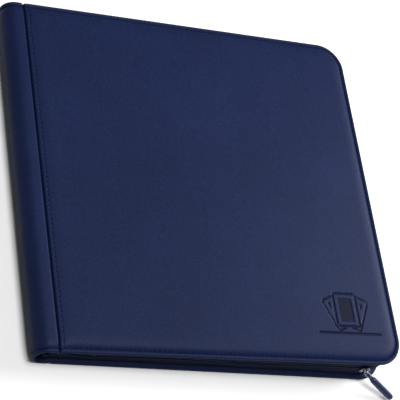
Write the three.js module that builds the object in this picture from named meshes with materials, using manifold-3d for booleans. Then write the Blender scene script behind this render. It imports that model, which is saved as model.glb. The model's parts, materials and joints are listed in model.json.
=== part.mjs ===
// A zip-up, side-loading card binder lying closed on its back cover.
// Millimetres, +Z up. +X runs from the spine to the fore edge and +Y from the bottom edge to the top edge.
// The origin is the middle of the back cover's underside.
import * as THREE from 'three';
import { mergeVertices } from 'three/addons/utils/BufferGeometryUtils.js';
import Module from 'manifold-3d';

const wasm = await Module();
wasm.setup();

// ---------- driving dimensions ----------
const COVER_HEIGHT = 320;
const PANEL_WIDTH = 315; // from the hinge groove to the fore edge
const SHOULDER_WIDTH = 17.5; // from the hinge groove to the spine's outer face
const CORNER_RADIUS = 24;
const COVER_TILT_DEG = 2.2; // the closed front cover rises towards the fore edge

const SKIN_THICKNESS = 0.8;
const FOAM_THICKNESS = 1.2;
const BOARD_THICKNESS = 1.4;
const LINING_THICKNESS = 0.4;
const LAYER_GAP = 0.3;
const HINGE_RADIUS = 3; // from each spine hinge's axis to the outer skin
const HINGE_CLEARANCE = 0.4;

const PAGE_COUNT = 20;
const PAGE_THICKNESS = 0.6;
const PAGE_GAP = 0.14;
const PAGE_MARGIN_WIDTH = 18; // the thin strip that bends, beside the binding
const PAGE_MARGIN_THICKNESS = 0.15;
const PAGE_EDGE_CLEARANCE = 17; // from a page's top or bottom to the cover's
const PAGE_FORE_CLEARANCE = 24; // from a page's fore edge to the cover's
const PAGE_STACK_CLEARANCE = 0.3;
const BINDING_STRIP_THICKNESS = 1.2;

const GUSSET_INSET = 3; // from the cover's edge to the gusset's outer face
const GUSSET_THICKNESS = 1.2;
const GUSSET_START = 3; // the gussets begin this far on the spine side of the groove
const LIP_OPENING = 4; // between the two gussets' lips, across the zip
const TAPE_THICKNESS = 0.5;
const TAPE_WIDTH = 5.2;
const TEETH_WIDTH = 1.6; // across the tape
const TEETH_HEIGHT = 1;
const TEETH_OPENING = 1; // between the two rows, for the slider's post
const ZIP_END_LENGTH = 33; // from the groove to the zip's stops, where the gussets close up
const STOP_LENGTH = 2.4;
const END_TAB_LENGTH = 5;
const END_TAB_HEIGHT = 7;

const SLIDER_LENGTH = 9.5;
const SLIDER_WIDTH = 7.6;
const SLIDER_OUTER_PLATE = 1.4;
const SLIDER_INNER_PLATE = 1;
const SLIDER_POST_LENGTH = 3;
const SLIDER_NOSE_RADIUS = 2.6;
const RUNNING_CLEARANCE = 0.3;
const BAIL_LENGTH = 4.4;
const BAIL_WIDTH = 1.2;
const BAIL_BAR = 0.9;
const BAIL_OPENING = 3;

const LINK_WIRE = 0.8;
const LINK_INNER_WIDTH = 3.8;
const LINK_LENGTH = 6.5; // between the middles of its two end bars
const PULL_LENGTH = 40; // from the bail to the sleeve's tip
const PULL_SWING_DEG = 27; // the closed pull's direction, outwards from +X
const PULL_DROOP_DEG = 21.7;
const SLEEVE_RADIUS = 3;
const SLEEVE_NECK_RADIUS = 2.2;
const SLEEVE_TONGUE_WIDTH = 2.6;
const SLEEVE_TONGUE_THICKNESS = 2.4;
const SLEEVE_START = 1.6; // from the link's far bar to the sleeve's head

const ARC_SEGMENTS = 8;
const ROUND_SEGMENTS = 16;

// ---------- derived dimensions ----------
const RADIANS = Math.PI / 180;
const TILT = COVER_TILT_DEG * RADIANS;
const FORE_EDGE_X = (PANEL_WIDTH + SHOULDER_WIDTH) / 2;
const SPINE_X = -FORE_EDGE_X;
const GROOVE_X = SPINE_X + SHOULDER_WIDTH;
const HALF_HEIGHT = COVER_HEIGHT / 2;
const COVER_THICKNESS = SKIN_THICKNESS + FOAM_THICKNESS + BOARD_THICKNESS + LINING_THICKNESS + 3 * LAYER_GAP;
const PAGE_PITCH = PAGE_THICKNESS + PAGE_GAP;
const STACK_HEIGHT = PAGE_COUNT * PAGE_PITCH - PAGE_GAP + 2 * PAGE_STACK_CLEARANCE;
const SPINE_HEIGHT = STACK_HEIGHT + 2 * COVER_THICKNESS;
const HINGE_X = SPINE_X + HINGE_RADIUS;
const LOWER_HINGE_Z = HINGE_RADIUS;
const UPPER_HINGE_Z = SPINE_HEIGHT - HINGE_RADIUS;
const PANEL_START_X = HINGE_X + HINGE_RADIUS + HINGE_CLEARANCE;
const SPINE_BOARD_X = SPINE_X + SKIN_THICKNESS + LAYER_GAP;
const SPINE_LINING_X = SPINE_BOARD_X + BOARD_THICKNESS + LAYER_GAP;
const BINDING_STRIP_X = SPINE_LINING_X + LINING_THICKNESS + LAYER_GAP;
const PAGE_HINGE_X = BINDING_STRIP_X + BINDING_STRIP_THICKNESS + LAYER_GAP;
const PAGE_END_X = FORE_EDGE_X - PAGE_FORE_CLEARANCE;
const PAGE_HEIGHT = COVER_HEIGHT - 2 * PAGE_EDGE_CLEARANCE;
const GUSSET_START_X = GROOVE_X - GUSSET_START;
const TAPE_INSET = GUSSET_INSET + GUSSET_THICKNESS + LAYER_GAP;
const TEETH_INSET = TAPE_INSET + (TAPE_THICKNESS - TEETH_WIDTH) / 2;
const ZIP_START_X = GROOVE_X + ZIP_END_LENGTH;
const TEETH_START_X = ZIP_START_X + STOP_LENGTH + LAYER_GAP;
const SLIDER_INNER_INSET = TEETH_INSET + TEETH_WIDTH + RUNNING_CLEARANCE;
const SLIDER_X = FORE_EDGE_X - CORNER_RADIUS - SLIDER_LENGTH / 2 + RUNNING_CLEARANCE;

/** Height of the front cover's outer face above the table, at x. */
function frontFaceZ(x) {
  return UPPER_HINGE_Z + (x - HINGE_X) * Math.tan(TILT) + HINGE_RADIUS / Math.cos(TILT);
}

/** Height of the zip's middle line above the table, at x. */
function zipZ(x) {
  return frontFaceZ(x) / 2;
}

/** Height of the front cover's inner face, at x. */
function frontInnerZ(x) {
  return frontFaceZ(x) - COVER_THICKNESS / Math.cos(TILT);
}

const ZIP_SLOPE = Math.atan(Math.tan(TILT) / 2);

// ---------- materials ----------
function material(color, roughness, metalness = 0) {
  return new THREE.MeshStandardMaterial({ color, roughness, metalness });
}

const finishes = {
  leather: () => material(0x262f52, 0.5),
  foam: () => material(0x3a3d46, 0.95),
  board: () => material(0x8b7c66, 0.9),
  lining: () => material(0x17181d, 0.85),
  film: () => material(0x1a1b20, 0.3),
  tape: () => material(0x16181f, 0.9),
  teeth: () => material(0x14161c, 0.45),
  metal: () => material(0x8d9096, 0.3, 0.9),
  sleeve: () => material(0x1f2746, 0.55),
};

const part = new THREE.Group();

/** Adds one named piece to a group and returns it. */
function addPiece(group, name, geometry, finish) {
  const mesh = new THREE.Mesh(geometry, finishes[finish]());
  mesh.name = name;
  group.add(mesh);
  return mesh;
}

// ---------- solids ----------
function toSolid(geometry) {
  const bare = geometry.clone();
  bare.deleteAttribute('normal');
  bare.deleteAttribute('uv');
  const merged = mergeVertices(bare, 1e-4);
  const vertProperties = new Float32Array(merged.attributes.position.array);
  const triVerts = new Uint32Array(merged.index.array);
  return new wasm.Manifold(new wasm.Mesh({ numProp: 3, vertProperties, triVerts }));
}

function toGeometry(solid) {
  const mesh = solid.getMesh();
  const geometry = new THREE.BufferGeometry();
  geometry.setAttribute('position', new THREE.BufferAttribute(new Float32Array(mesh.vertProperties), 3));
  geometry.setIndex(new THREE.BufferAttribute(new Uint32Array(mesh.triVerts), 1));
  geometry.computeVertexNormals();
  return geometry;
}

/** Joins geometries that overlap into one closed body. */
function join(first, ...others) {
  return toGeometry(others.reduce((solid, other) => solid.add(toSolid(other)), toSolid(first)));
}

function cut(geometry, tool) {
  return toGeometry(toSolid(geometry).subtract(toSolid(tool)));
}

/** A box from its lowest and highest corners. */
function boxBetween([x0, y0, z0], [x1, y1, z1]) {
  const box = new THREE.BoxGeometry(x1 - x0, y1 - y0, z1 - z0);
  return box.translate((x0 + x1) / 2, (y0 + y1) / 2, (z0 + z1) / 2);
}

/** Extrudes an outline drawn in the X-Z plane along Y, over a length centred on y = 0. */
function extrudeAlongY(shape, length) {
  const geometry = new THREE.ExtrudeGeometry(shape, {
    depth: length,
    bevelEnabled: false,
    curveSegments: ARC_SEGMENTS,
  });
  return geometry.rotateX(Math.PI / 2).translate(0, length / 2, 0);
}

/** Extrudes an outline drawn in the X-Y plane from z0 up to z1. */
function extrudeUp(shape, z0, z1) {
  const geometry = new THREE.ExtrudeGeometry(shape, {
    depth: z1 - z0,
    bevelEnabled: false,
    curveSegments: ARC_SEGMENTS,
  });
  return geometry.translate(0, 0, z0);
}

// ---------- outlines ----------
/** A cover panel seen from above: square at the hinge, rounded at both fore-edge corners. */
function panelShape(startX, inset) {
  const radius = CORNER_RADIUS - inset;
  const cornerX = FORE_EDGE_X - CORNER_RADIUS;
  const cornerY = HALF_HEIGHT - CORNER_RADIUS;
  const shape = new THREE.Shape();
  shape.moveTo(startX, inset - HALF_HEIGHT);
  shape.lineTo(cornerX, inset - HALF_HEIGHT);
  shape.absarc(cornerX, -cornerY, radius, -Math.PI / 2, 0, false);
  shape.absarc(cornerX, cornerY, radius, 0, Math.PI / 2, false);
  shape.lineTo(startX, HALF_HEIGHT - inset);
  shape.closePath();
  return shape;
}

/** A strip that follows the three free edges of the cover, between two insets from its edge. */
function edgeStripShape(startX, outerInset, innerInset) {
  const cornerX = FORE_EDGE_X - CORNER_RADIUS;
  const cornerY = HALF_HEIGHT - CORNER_RADIUS;
  const outerRadius = CORNER_RADIUS - outerInset;
  const innerRadius = CORNER_RADIUS - innerInset;
  const shape = new THREE.Shape();
  shape.moveTo(startX, outerInset - HALF_HEIGHT);
  shape.lineTo(cornerX, outerInset - HALF_HEIGHT);
  shape.absarc(cornerX, -cornerY, outerRadius, -Math.PI / 2, 0, false);
  shape.absarc(cornerX, cornerY, outerRadius, 0, Math.PI / 2, false);
  shape.lineTo(startX, HALF_HEIGHT - outerInset);
  shape.lineTo(startX, HALF_HEIGHT - innerInset);
  shape.absarc(cornerX, cornerY, innerRadius, Math.PI / 2, 0, true);
  shape.absarc(cornerX, -cornerY, innerRadius, 0, -Math.PI / 2, true);
  shape.lineTo(startX, innerInset - HALF_HEIGHT);
  shape.closePath();
  return shape;
}

/** A standing wall along the three free edges, whose lower and upper edges are heights that vary with x. */
function edgeWall(startX, outerInset, thickness, lowZ, highZ) {
  const geometry = extrudeUp(edgeStripShape(startX, outerInset, outerInset + thickness), 0, 1);
  const position = geometry.attributes.position;
  for (let i = 0; i < position.count; i += 1) {
    const x = position.getX(i);
    position.setZ(i, THREE.MathUtils.lerp(lowZ(x), highZ(x), position.getZ(i)));
  }
  geometry.computeVertexNormals();
  return geometry;
}

// ---------- covers ----------
/** The outer skin of a cover: the face, and the hem that wraps the three free edges. */
function coverSkin() {
  const face = extrudeUp(panelShape(PANEL_START_X, 0), 0, SKIN_THICKNESS);
  const hem = extrudeUp(edgeStripShape(PANEL_START_X, 0, SKIN_THICKNESS), 0, COVER_THICKNESS);
  return join(face, hem);
}

/** The four layers of a cover, built face down with the outer skin at z = 0. */
function addCover(group, name) {
  const inner = panelShape(PANEL_START_X, SKIN_THICKNESS + LAYER_GAP);
  const layers = [
    ['foam', FOAM_THICKNESS, 'foam'],
    ['board', BOARD_THICKNESS, 'board'],
    ['lining', LINING_THICKNESS, 'lining'],
  ];
  addPiece(group, `${name}_skin`, coverSkin(), 'leather');
  let bottom = SKIN_THICKNESS + LAYER_GAP;
  for (const [layer, thickness, finish] of layers) {
    addPiece(group, `${name}_${layer}`, extrudeUp(inner, bottom, bottom + thickness), finish);
    bottom += thickness + LAYER_GAP;
  }
}

function addBackCover() {
  addCover(part, 'back_cover');
}

/** The front cover is the back cover turned over about X and tilted about the upper hinge. */
function addFrontCover() {
  const tilted = new THREE.Group();
  tilted.position.set(HINGE_X, 0, UPPER_HINGE_Z);
  tilted.rotation.y = -TILT;
  const flipped = new THREE.Group();
  flipped.position.set(-HINGE_X, 0, HINGE_RADIUS);
  flipped.rotation.x = Math.PI;
  tilted.add(flipped);
  part.add(tilted);
  addCover(flipped, 'front_cover');
}

// ---------- spine ----------
/** The spine's skin is a C in section: its ends are quarter rounds about the two hinge axes. */
function spineSkinShape() {
  const innerRadius = HINGE_RADIUS - SKIN_THICKNESS;
  const quarter = Math.PI / 2;
  const shape = new THREE.Shape();
  shape.moveTo(HINGE_X, SPINE_HEIGHT);
  shape.absarc(HINGE_X, UPPER_HINGE_Z, HINGE_RADIUS, quarter, 2 * quarter, false);
  shape.absarc(HINGE_X, LOWER_HINGE_Z, HINGE_RADIUS, 2 * quarter, 3 * quarter, false);
  shape.absarc(HINGE_X, LOWER_HINGE_Z, innerRadius, 3 * quarter, 2 * quarter, true);
  shape.absarc(HINGE_X, UPPER_HINGE_Z, innerRadius, 2 * quarter, quarter, true);
  shape.closePath();
  return shape;
}

/** A flat layer of the spine, standing between the two covers. */
function spineLayer(x, thickness, length) {
  const low = [x, -length / 2, COVER_THICKNESS];
  const high = [x + thickness, length / 2, SPINE_HEIGHT - COVER_THICKNESS];
  return boxBetween(low, high);
}

function addSpine() {
  const innerLength = COVER_HEIGHT - 2 * (SKIN_THICKNESS + LAYER_GAP);
  addPiece(part, 'spine_skin', extrudeAlongY(spineSkinShape(), COVER_HEIGHT), 'leather');
  addPiece(part, 'spine_board', spineLayer(SPINE_BOARD_X, BOARD_THICKNESS, innerLength), 'board');
  addPiece(part, 'spine_lining', spineLayer(SPINE_LINING_X, LINING_THICKNESS, innerLength), 'lining');
  const strip = spineLayer(BINDING_STRIP_X, BINDING_STRIP_THICKNESS, PAGE_HEIGHT);
  addPiece(part, 'page_binding_strip', strip, 'lining');
}

// ---------- pages ----------
/** A page in section: the thin margin from the binding, then the welded pocket field. */
function pageShape() {
  const width = PAGE_END_X - PAGE_HINGE_X;
  const shape = new THREE.Shape();
  shape.moveTo(0, -PAGE_MARGIN_THICKNESS / 2);
  shape.lineTo(PAGE_MARGIN_WIDTH, -PAGE_MARGIN_THICKNESS / 2);
  shape.lineTo(PAGE_MARGIN_WIDTH, -PAGE_THICKNESS / 2);
  shape.lineTo(width, -PAGE_THICKNESS / 2);
  shape.lineTo(width, PAGE_THICKNESS / 2);
  shape.lineTo(PAGE_MARGIN_WIDTH, PAGE_THICKNESS / 2);
  shape.lineTo(PAGE_MARGIN_WIDTH, PAGE_MARGIN_THICKNESS / 2);
  shape.lineTo(0, PAGE_MARGIN_THICKNESS / 2);
  shape.closePath();
  return shape;
}

/** Page 1 lies next to the front cover. The closed pages share out the front cover's tilt. */
function addPages() {
  const firstZ = SPINE_HEIGHT - COVER_THICKNESS - PAGE_STACK_CLEARANCE - PAGE_THICKNESS / 2;
  for (let number = 1; number <= PAGE_COUNT; number += 1) {
    const name = `page_${String(number).padStart(2, '0')}`;
    const page = addPiece(part, name, extrudeAlongY(pageShape(), PAGE_HEIGHT), 'film');
    page.position.set(PAGE_HINGE_X, 0, firstZ - (number - 1) * PAGE_PITCH);
    page.rotation.y = -TILT * (1 - (number - 0.5) / PAGE_COUNT);
  }
}

// ---------- zip ----------
/** The gussets, tapes and teeth: below the zip's middle line on the back, above it on the front. */
function addZipBands() {
  const lip = LIP_OPENING / 2;
  const teeth = TEETH_OPENING / 2;
  const tape = teeth + TEETH_HEIGHT + LAYER_GAP;
  const onZip = (offset) => (x) => zipZ(x) + offset;
  const backFloor = () => COVER_THICKNESS + LAYER_GAP;
  const frontCeiling = (x) => frontInnerZ(x) - LAYER_GAP;
  const gusset = [GUSSET_START_X, GUSSET_INSET, GUSSET_THICKNESS];
  const cloth = [ZIP_START_X, TAPE_INSET, TAPE_THICKNESS];
  const row = [TEETH_START_X, TEETH_INSET, TEETH_WIDTH];
  const bands = [
    ['back_gusset', ...gusset, backFloor, onZip(-lip), 'leather'],
    ['front_gusset', ...gusset, onZip(lip), frontCeiling, 'leather'],
    ['back_zip_tape', ...cloth, onZip(-tape - TAPE_WIDTH), onZip(-tape), 'tape'],
    ['front_zip_tape', ...cloth, onZip(tape), onZip(tape + TAPE_WIDTH), 'tape'],
    ['back_zip_teeth', ...row, onZip(-teeth - TEETH_HEIGHT), onZip(-teeth), 'teeth'],
    ['front_zip_teeth', ...row, onZip(teeth), onZip(teeth + TEETH_HEIGHT), 'teeth'],
  ];
  for (const [name, startX, inset, thickness, lowZ, highZ, finish] of bands) {
    addPiece(part, name, edgeWall(startX, inset, thickness, lowZ, highZ), finish);
  }
}

/** The crimped stops at both ends of each row of teeth. */
function addZipStops() {
  const x = ZIP_START_X;
  const y = HALF_HEIGHT - TEETH_INSET;
  for (const [row, side] of [['back', -1], ['front', 1]]) {
    for (const [end, edge] of [['bottom', -1], ['top', 1]]) {
      const near = side * TEETH_OPENING / 2;
      const far = side * (TEETH_OPENING / 2 + TEETH_HEIGHT);
      const z = zipZ(x);
      const lowCorner = [x, edge > 0 ? y - TEETH_WIDTH : -y, z + Math.min(near, far)];
      const highCorner = [x + STOP_LENGTH, edge > 0 ? y : TEETH_WIDTH - y, z + Math.max(near, far)];
      addPiece(part, `${row}_zip_stop_${end}`, boxBetween(lowCorner, highCorner), 'metal');
    }
  }
}

/** The folded tabs that finish the zip beside the spine, sewn to the back cover. */
function addZipEndTabs() {
  const x = GUSSET_START_X - LAYER_GAP;
  const bottom = COVER_THICKNESS + LAYER_GAP;
  for (const [end, edge] of [['bottom', -1], ['top', 1]]) {
    const outer = edge * (HALF_HEIGHT - GUSSET_INSET);
    const inner = edge * (HALF_HEIGHT - GUSSET_INSET - GUSSET_THICKNESS);
    const lowCorner = [x - END_TAB_LENGTH, Math.min(outer, inner), bottom];
    const highCorner = [x, Math.max(outer, inner), bottom + END_TAB_HEIGHT];
    addPiece(part, `zip_end_tab_${end}`, boxBetween(lowCorner, highCorner), 'leather');
  }
}

// ---------- slider and pull ----------
/** A slider plate seen from outside: rounded at both ends. */
function sliderPlateShape() {
  const halfLength = SLIDER_LENGTH / 2;
  const halfWidth = SLIDER_WIDTH / 2;
  const r = SLIDER_NOSE_RADIUS;
  const shape = new THREE.Shape();
  shape.moveTo(r - halfLength, -halfWidth);
  shape.absarc(halfLength - r, r - halfWidth, r, -Math.PI / 2, 0, false);
  shape.absarc(halfLength - r, halfWidth - r, r, 0, Math.PI / 2, false);
  shape.absarc(r - halfLength, halfWidth - r, r, Math.PI / 2, Math.PI, false);
  shape.absarc(r - halfLength, r - halfWidth, r, Math.PI, 1.5 * Math.PI, false);
  shape.closePath();
  return shape;
}

/** A slider plate between two insets from the cover's edge. */
function sliderPlate(outerInset, thickness) {
  const plate = extrudeAlongY(sliderPlateShape(), thickness);
  return plate.translate(0, outerInset + thickness / 2 - HALF_HEIGHT, 0);
}

const SLIDER_OUTER_INSET = GUSSET_INSET - RUNNING_CLEARANCE - SLIDER_OUTER_PLATE;
const BAIL_EYE_Y = SLIDER_OUTER_INSET - BAIL_OPENING / 2 - HALF_HEIGHT;

/** The slider's outer and inner plates, the post between the two rows of teeth, and the bail. */
function sliderGeometry() {
  const outer = sliderPlate(SLIDER_OUTER_INSET, SLIDER_OUTER_PLATE);
  const inner = sliderPlate(SLIDER_INNER_INSET, SLIDER_INNER_PLATE);
  const postHeight = TEETH_OPENING - 2 * RUNNING_CLEARANCE;
  const post = boxBetween(
    [-SLIDER_POST_LENGTH / 2, SLIDER_OUTER_INSET + SLIDER_OUTER_PLATE / 2 - HALF_HEIGHT, -postHeight / 2],
    [SLIDER_POST_LENGTH / 2, SLIDER_INNER_INSET + SLIDER_INNER_PLATE / 2 - HALF_HEIGHT, postHeight / 2],
  );
  const face = SLIDER_OUTER_INSET - HALF_HEIGHT;
  const bailBlock = boxBetween(
    [-BAIL_LENGTH / 2, face - BAIL_OPENING - BAIL_BAR, -BAIL_WIDTH / 2],
    [BAIL_LENGTH / 2, face + SLIDER_OUTER_PLATE / 2, BAIL_WIDTH / 2],
  );
  const bailEye = boxBetween(
    [BAIL_BAR - BAIL_LENGTH / 2, face - BAIL_OPENING, -BAIL_WIDTH],
    [BAIL_LENGTH / 2 - BAIL_BAR, face, BAIL_WIDTH],
  );
  return join(outer, inner, post, cut(bailBlock, bailEye));
}

/** The wire link, a flat ring whose first end bar lies at the origin and whose second lies along +X. */
function linkGeometry() {
  const half = LINK_INNER_WIDTH / 2;
  const wire = LINK_WIRE;
  const outer = half + wire;
  const ring = boxBetween([-wire / 2, -wire / 2, -outer], [LINK_LENGTH + wire / 2, wire / 2, outer]);
  const hole = boxBetween([wire / 2, -wire, -half], [LINK_LENGTH - wire / 2, wire, half]);
  return cut(ring, hole);
}

/** The pull's sleeve, along +X from the link's far bar, with the tongue that the bar passes through. */
function sleeveGeometry() {
  const length = PULL_LENGTH - LINK_LENGTH;
  const profile = [
    new THREE.Vector2(0, SLEEVE_START),
    new THREE.Vector2(SLEEVE_NECK_RADIUS, SLEEVE_START),
    new THREE.Vector2(SLEEVE_RADIUS, SLEEVE_START + SLEEVE_RADIUS),
    new THREE.Vector2(SLEEVE_RADIUS, length - SLEEVE_NECK_RADIUS),
    new THREE.Vector2(SLEEVE_NECK_RADIUS, length),
    new THREE.Vector2(0, length),
  ];
  const barrel = new THREE.LatheGeometry(profile, ROUND_SEGMENTS).rotateZ(-Math.PI / 2);
  const tongue = boxBetween(
    [-SLEEVE_TONGUE_WIDTH / 2, -SLEEVE_TONGUE_WIDTH / 2, -SLEEVE_TONGUE_THICKNESS / 2],
    [SLEEVE_START + SLEEVE_RADIUS, SLEEVE_TONGUE_WIDTH / 2, SLEEVE_TONGUE_THICKNESS / 2],
  );
  const eyeRadius = LINK_WIRE * Math.SQRT1_2 + RUNNING_CLEARANCE / 2;
  const eye = new THREE.CylinderGeometry(eyeRadius, eyeRadius, SLEEVE_TONGUE_THICKNESS * 2, ROUND_SEGMENTS);
  return cut(join(barrel, tongue), eye.rotateX(Math.PI / 2));
}

/** The slider just before the bottom corner, with its link and sleeve pointing out and down to the table. */
function addSliderAndPull() {
  const carriage = new THREE.Group();
  carriage.position.set(SLIDER_X, 0, zipZ(SLIDER_X));
  carriage.rotation.y = -ZIP_SLOPE;
  part.add(carriage);
  addPiece(carriage, 'zip_slider_body', sliderGeometry(), 'metal');
  const pull = new THREE.Group();
  pull.position.set(SLIDER_X, BAIL_EYE_Y, zipZ(SLIDER_X));
  pull.rotation.set(0, PULL_DROOP_DEG * RADIANS, -PULL_SWING_DEG * RADIANS, 'ZYX');
  part.add(pull);
  addPiece(pull, 'pull_link', linkGeometry(), 'metal');
  const sleeve = addPiece(pull, 'pull_sleeve', sleeveGeometry(), 'sleeve');
  sleeve.position.set(LINK_LENGTH, 0, 0);
}

addBackCover();
addFrontCover();
addSpine();
addPages();
addZipBands();
addZipStops();
addZipEndTabs();
addSliderAndPull();

export default part;
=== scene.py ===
"""A zip-up, padded card binder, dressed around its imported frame."""

import json
import logging
import math
from dataclasses import dataclass
from enum import Enum
from itertools import product
from typing import Callable, Iterator, Sequence

import bmesh
import bpy
from bmesh.types import BMEdge, BMesh, BMFace, BMVert
from bpy.types import Material, Node, NodeSocket, Object
from mathutils import Matrix, Vector


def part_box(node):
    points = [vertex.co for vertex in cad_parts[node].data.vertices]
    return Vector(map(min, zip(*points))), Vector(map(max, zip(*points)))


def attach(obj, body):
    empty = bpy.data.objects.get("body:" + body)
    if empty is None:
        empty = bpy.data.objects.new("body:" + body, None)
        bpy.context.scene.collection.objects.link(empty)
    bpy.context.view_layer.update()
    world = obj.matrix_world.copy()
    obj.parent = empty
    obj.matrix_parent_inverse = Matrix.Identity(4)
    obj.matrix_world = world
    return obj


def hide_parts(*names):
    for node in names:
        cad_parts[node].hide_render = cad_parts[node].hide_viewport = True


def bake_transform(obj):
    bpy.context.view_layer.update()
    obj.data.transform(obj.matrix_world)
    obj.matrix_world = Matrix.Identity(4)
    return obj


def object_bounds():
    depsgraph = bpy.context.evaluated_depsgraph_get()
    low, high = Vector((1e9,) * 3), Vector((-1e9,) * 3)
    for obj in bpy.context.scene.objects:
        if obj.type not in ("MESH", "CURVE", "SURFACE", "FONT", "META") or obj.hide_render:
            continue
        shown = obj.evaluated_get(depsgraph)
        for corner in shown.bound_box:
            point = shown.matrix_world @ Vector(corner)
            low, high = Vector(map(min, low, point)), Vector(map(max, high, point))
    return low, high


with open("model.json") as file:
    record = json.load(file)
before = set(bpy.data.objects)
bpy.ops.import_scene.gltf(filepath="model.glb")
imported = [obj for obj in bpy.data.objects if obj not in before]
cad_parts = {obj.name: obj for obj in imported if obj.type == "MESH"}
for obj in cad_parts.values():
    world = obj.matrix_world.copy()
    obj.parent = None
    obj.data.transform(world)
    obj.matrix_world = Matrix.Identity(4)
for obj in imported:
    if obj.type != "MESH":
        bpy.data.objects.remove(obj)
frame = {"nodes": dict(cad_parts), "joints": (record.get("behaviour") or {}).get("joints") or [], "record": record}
CAD_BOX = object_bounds()
LOG = logging.getLogger("binder")

MM = 0.001
SHOULDER_WIDTH = 17.5 * MM
CORNER_RADIUS = 24 * MM
SPINE_ROUND = 11 * MM
STITCH_PITCH = 4.2 * MM
STITCH_INSET = 3.7 * MM
HEM_STEP = STITCH_PITCH / 4
SPINE_LINING_MARGIN = (0, 7 * MM, 4 * MM)
SPINE_LINING_ROUND = 0.15 * MM
MERGE = 1e-6
WAVE_TURN = 6.28
WHITE = (1.0, 1.0, 1.0)
NAVY = (0.0079, 0.0140, 0.0500)

Place = Callable[[float, float], Vector]
Section = list[tuple[float, float]]
Colour = tuple[float, float, float]


class Side(Enum):
    """Which cover a piece belongs to."""

    FRONT = "front"
    BACK = "back"


def smooth_step(value: float, low: float, high: float) -> float:
    """A soft step from 0 at low to 1 at high."""
    t = min(1.0, max(0.0, (value - low) / (high - low)))
    return t * t * (3 - 2 * t)


def bell(value: float, middle: float, width: float) -> float:
    """A bell curve of height 1 at middle."""
    return math.exp(-(((value - middle) / width) ** 2))


def spread(start: float, end: float, step: float) -> list[float]:
    """Evenly spaced values from start to end, about step apart."""
    count = max(1, round(abs(end - start) / step))
    return [start + (end - start) * i / count for i in range(count + 1)]


def joint(name: str) -> dict:
    """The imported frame's record of a joint."""
    return next(j for j in frame["joints"] if j["name"] == name)


@dataclass(frozen=True)
class Layout:
    """The binder's main lines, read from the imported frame.

    The flat frame used below is the row frame with the front cover laid parallel to the back cover.
    """

    spine_x: float
    fore_x: float
    half_height: float
    spine_height: float
    upper_hinge: Vector
    tilt: float

    @classmethod
    def from_frame(cls) -> "Layout":
        """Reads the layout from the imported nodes, joints and mounts.

        Returns:
            The layout.
        """
        spine_low, spine_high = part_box("spine_skin")
        _, back_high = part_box("back_cover_skin")
        front_face = next(m for m in frame["record"]["mounts"] if m["name"] == "front_face")
        return cls(
            spine_x=spine_low.x,
            fore_x=back_high.x,
            half_height=back_high.y,
            spine_height=spine_high.z,
            upper_hinge=Vector(joint("front_cover_hinge")["pos_m"]),
            tilt=math.atan2(-front_face["axis"][0], front_face["axis"][2]),
        )

    @property
    def groove_x(self) -> float:
        """Where the hinge groove runs."""
        return self.spine_x + SHOULDER_WIDTH

    @property
    def corner_x(self) -> float:
        """The x of both fore-edge corners' centres."""
        return self.fore_x - CORNER_RADIUS

    @property
    def corner_y(self) -> float:
        """The y of the top fore-edge corner's centre."""
        return self.half_height - CORNER_RADIUS

    @property
    def run(self) -> float:
        """Length of the straight hem from the groove to a corner."""
        return self.corner_x - self.groove_x

    @property
    def arc(self) -> float:
        """Length of a corner's hem."""
        return CORNER_RADIUS * math.pi / 2

    @property
    def hem_length(self) -> float:
        """Length of the hem from groove to groove."""
        return 2 * (self.run + self.arc + self.corner_y)

    def hem_point(self, s: float, inset: float) -> tuple[float, float, float]:
        """A place along the three free edges.

        Args:
            s: distance along the hem from the groove at the bottom edge.
            inset: distance inwards from the cover's edge.

        Returns:
            The point's x and y, and the angle of the outward normal.
        """
        radius = CORNER_RADIUS - inset

        def on_corner(angle: float, side: int) -> tuple[float, float, float]:
            """A point on the round of the bottom (-1) or the top (1) corner."""
            x = self.corner_x + radius * math.cos(angle)
            return x, radius * math.sin(angle) + side * self.corner_y, angle

        if s <= self.run:
            return self.groove_x + s, inset - self.half_height, -math.pi / 2
        s -= self.run
        if s <= self.arc:
            return on_corner(s / CORNER_RADIUS - math.pi / 2, -1)
        s -= self.arc
        if s <= 2 * self.corner_y:
            return self.fore_x - inset, s - self.corner_y, 0.0
        s -= 2 * self.corner_y
        if s <= self.arc:
            return on_corner(s / CORNER_RADIUS, 1)
        return self.corner_x - (s - self.arc), self.half_height - inset, math.pi / 2

    def front_face_z(self, x: float) -> float:
        """Height of the tilted front cover's face at x."""
        rise = (x - self.upper_hinge.x) * math.tan(self.tilt)
        return self.upper_hinge.z + rise + (self.spine_height - self.upper_hinge.z) / math.cos(self.tilt)

    def blend_share(self, x: float, z: float) -> float:
        """How far a point of the flat frame follows the front cover instead of the spine.

        Args:
            x: the point's x.
            z: the point's height.

        Returns:
            0 on the spine, 1 on the cover, and between them in the bend.
        """
        start, end = self.blend_line()
        along = Vector((x, 0, z)) - start
        return smooth_step(along.dot(end - start) / (end - start).length_squared, 0, 1)

    def blend_line(self) -> tuple[Vector, Vector]:
        """Where the upper hinge's bend starts on the spine and ends on the front cover."""
        start = Vector((self.spine_x, 0, self.spine_height - SPINE_ROUND))
        return start, Vector((self.spine_x + SPINE_ROUND, 0, self.spine_height))

    def settle(self, bm: BMesh, side: Side) -> None:
        """Moves a mesh from the flat frame to its cover.

        Args:
            bm: the mesh, which is tilted for the front cover and turned over for the back cover.
            side: the cover.
        """
        if side is Side.BACK:
            for vert in bm.verts:
                vert.co.z = self.spine_height - vert.co.z
            bmesh.ops.reverse_faces(bm, faces=bm.faces)
            return
        for vert in bm.verts:
            angle = -self.tilt * self.blend_share(vert.co.x, vert.co.z)
            vert.co = self.upper_hinge + Matrix.Rotation(angle, 3, "Y") @ (vert.co - self.upper_hinge)


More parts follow.
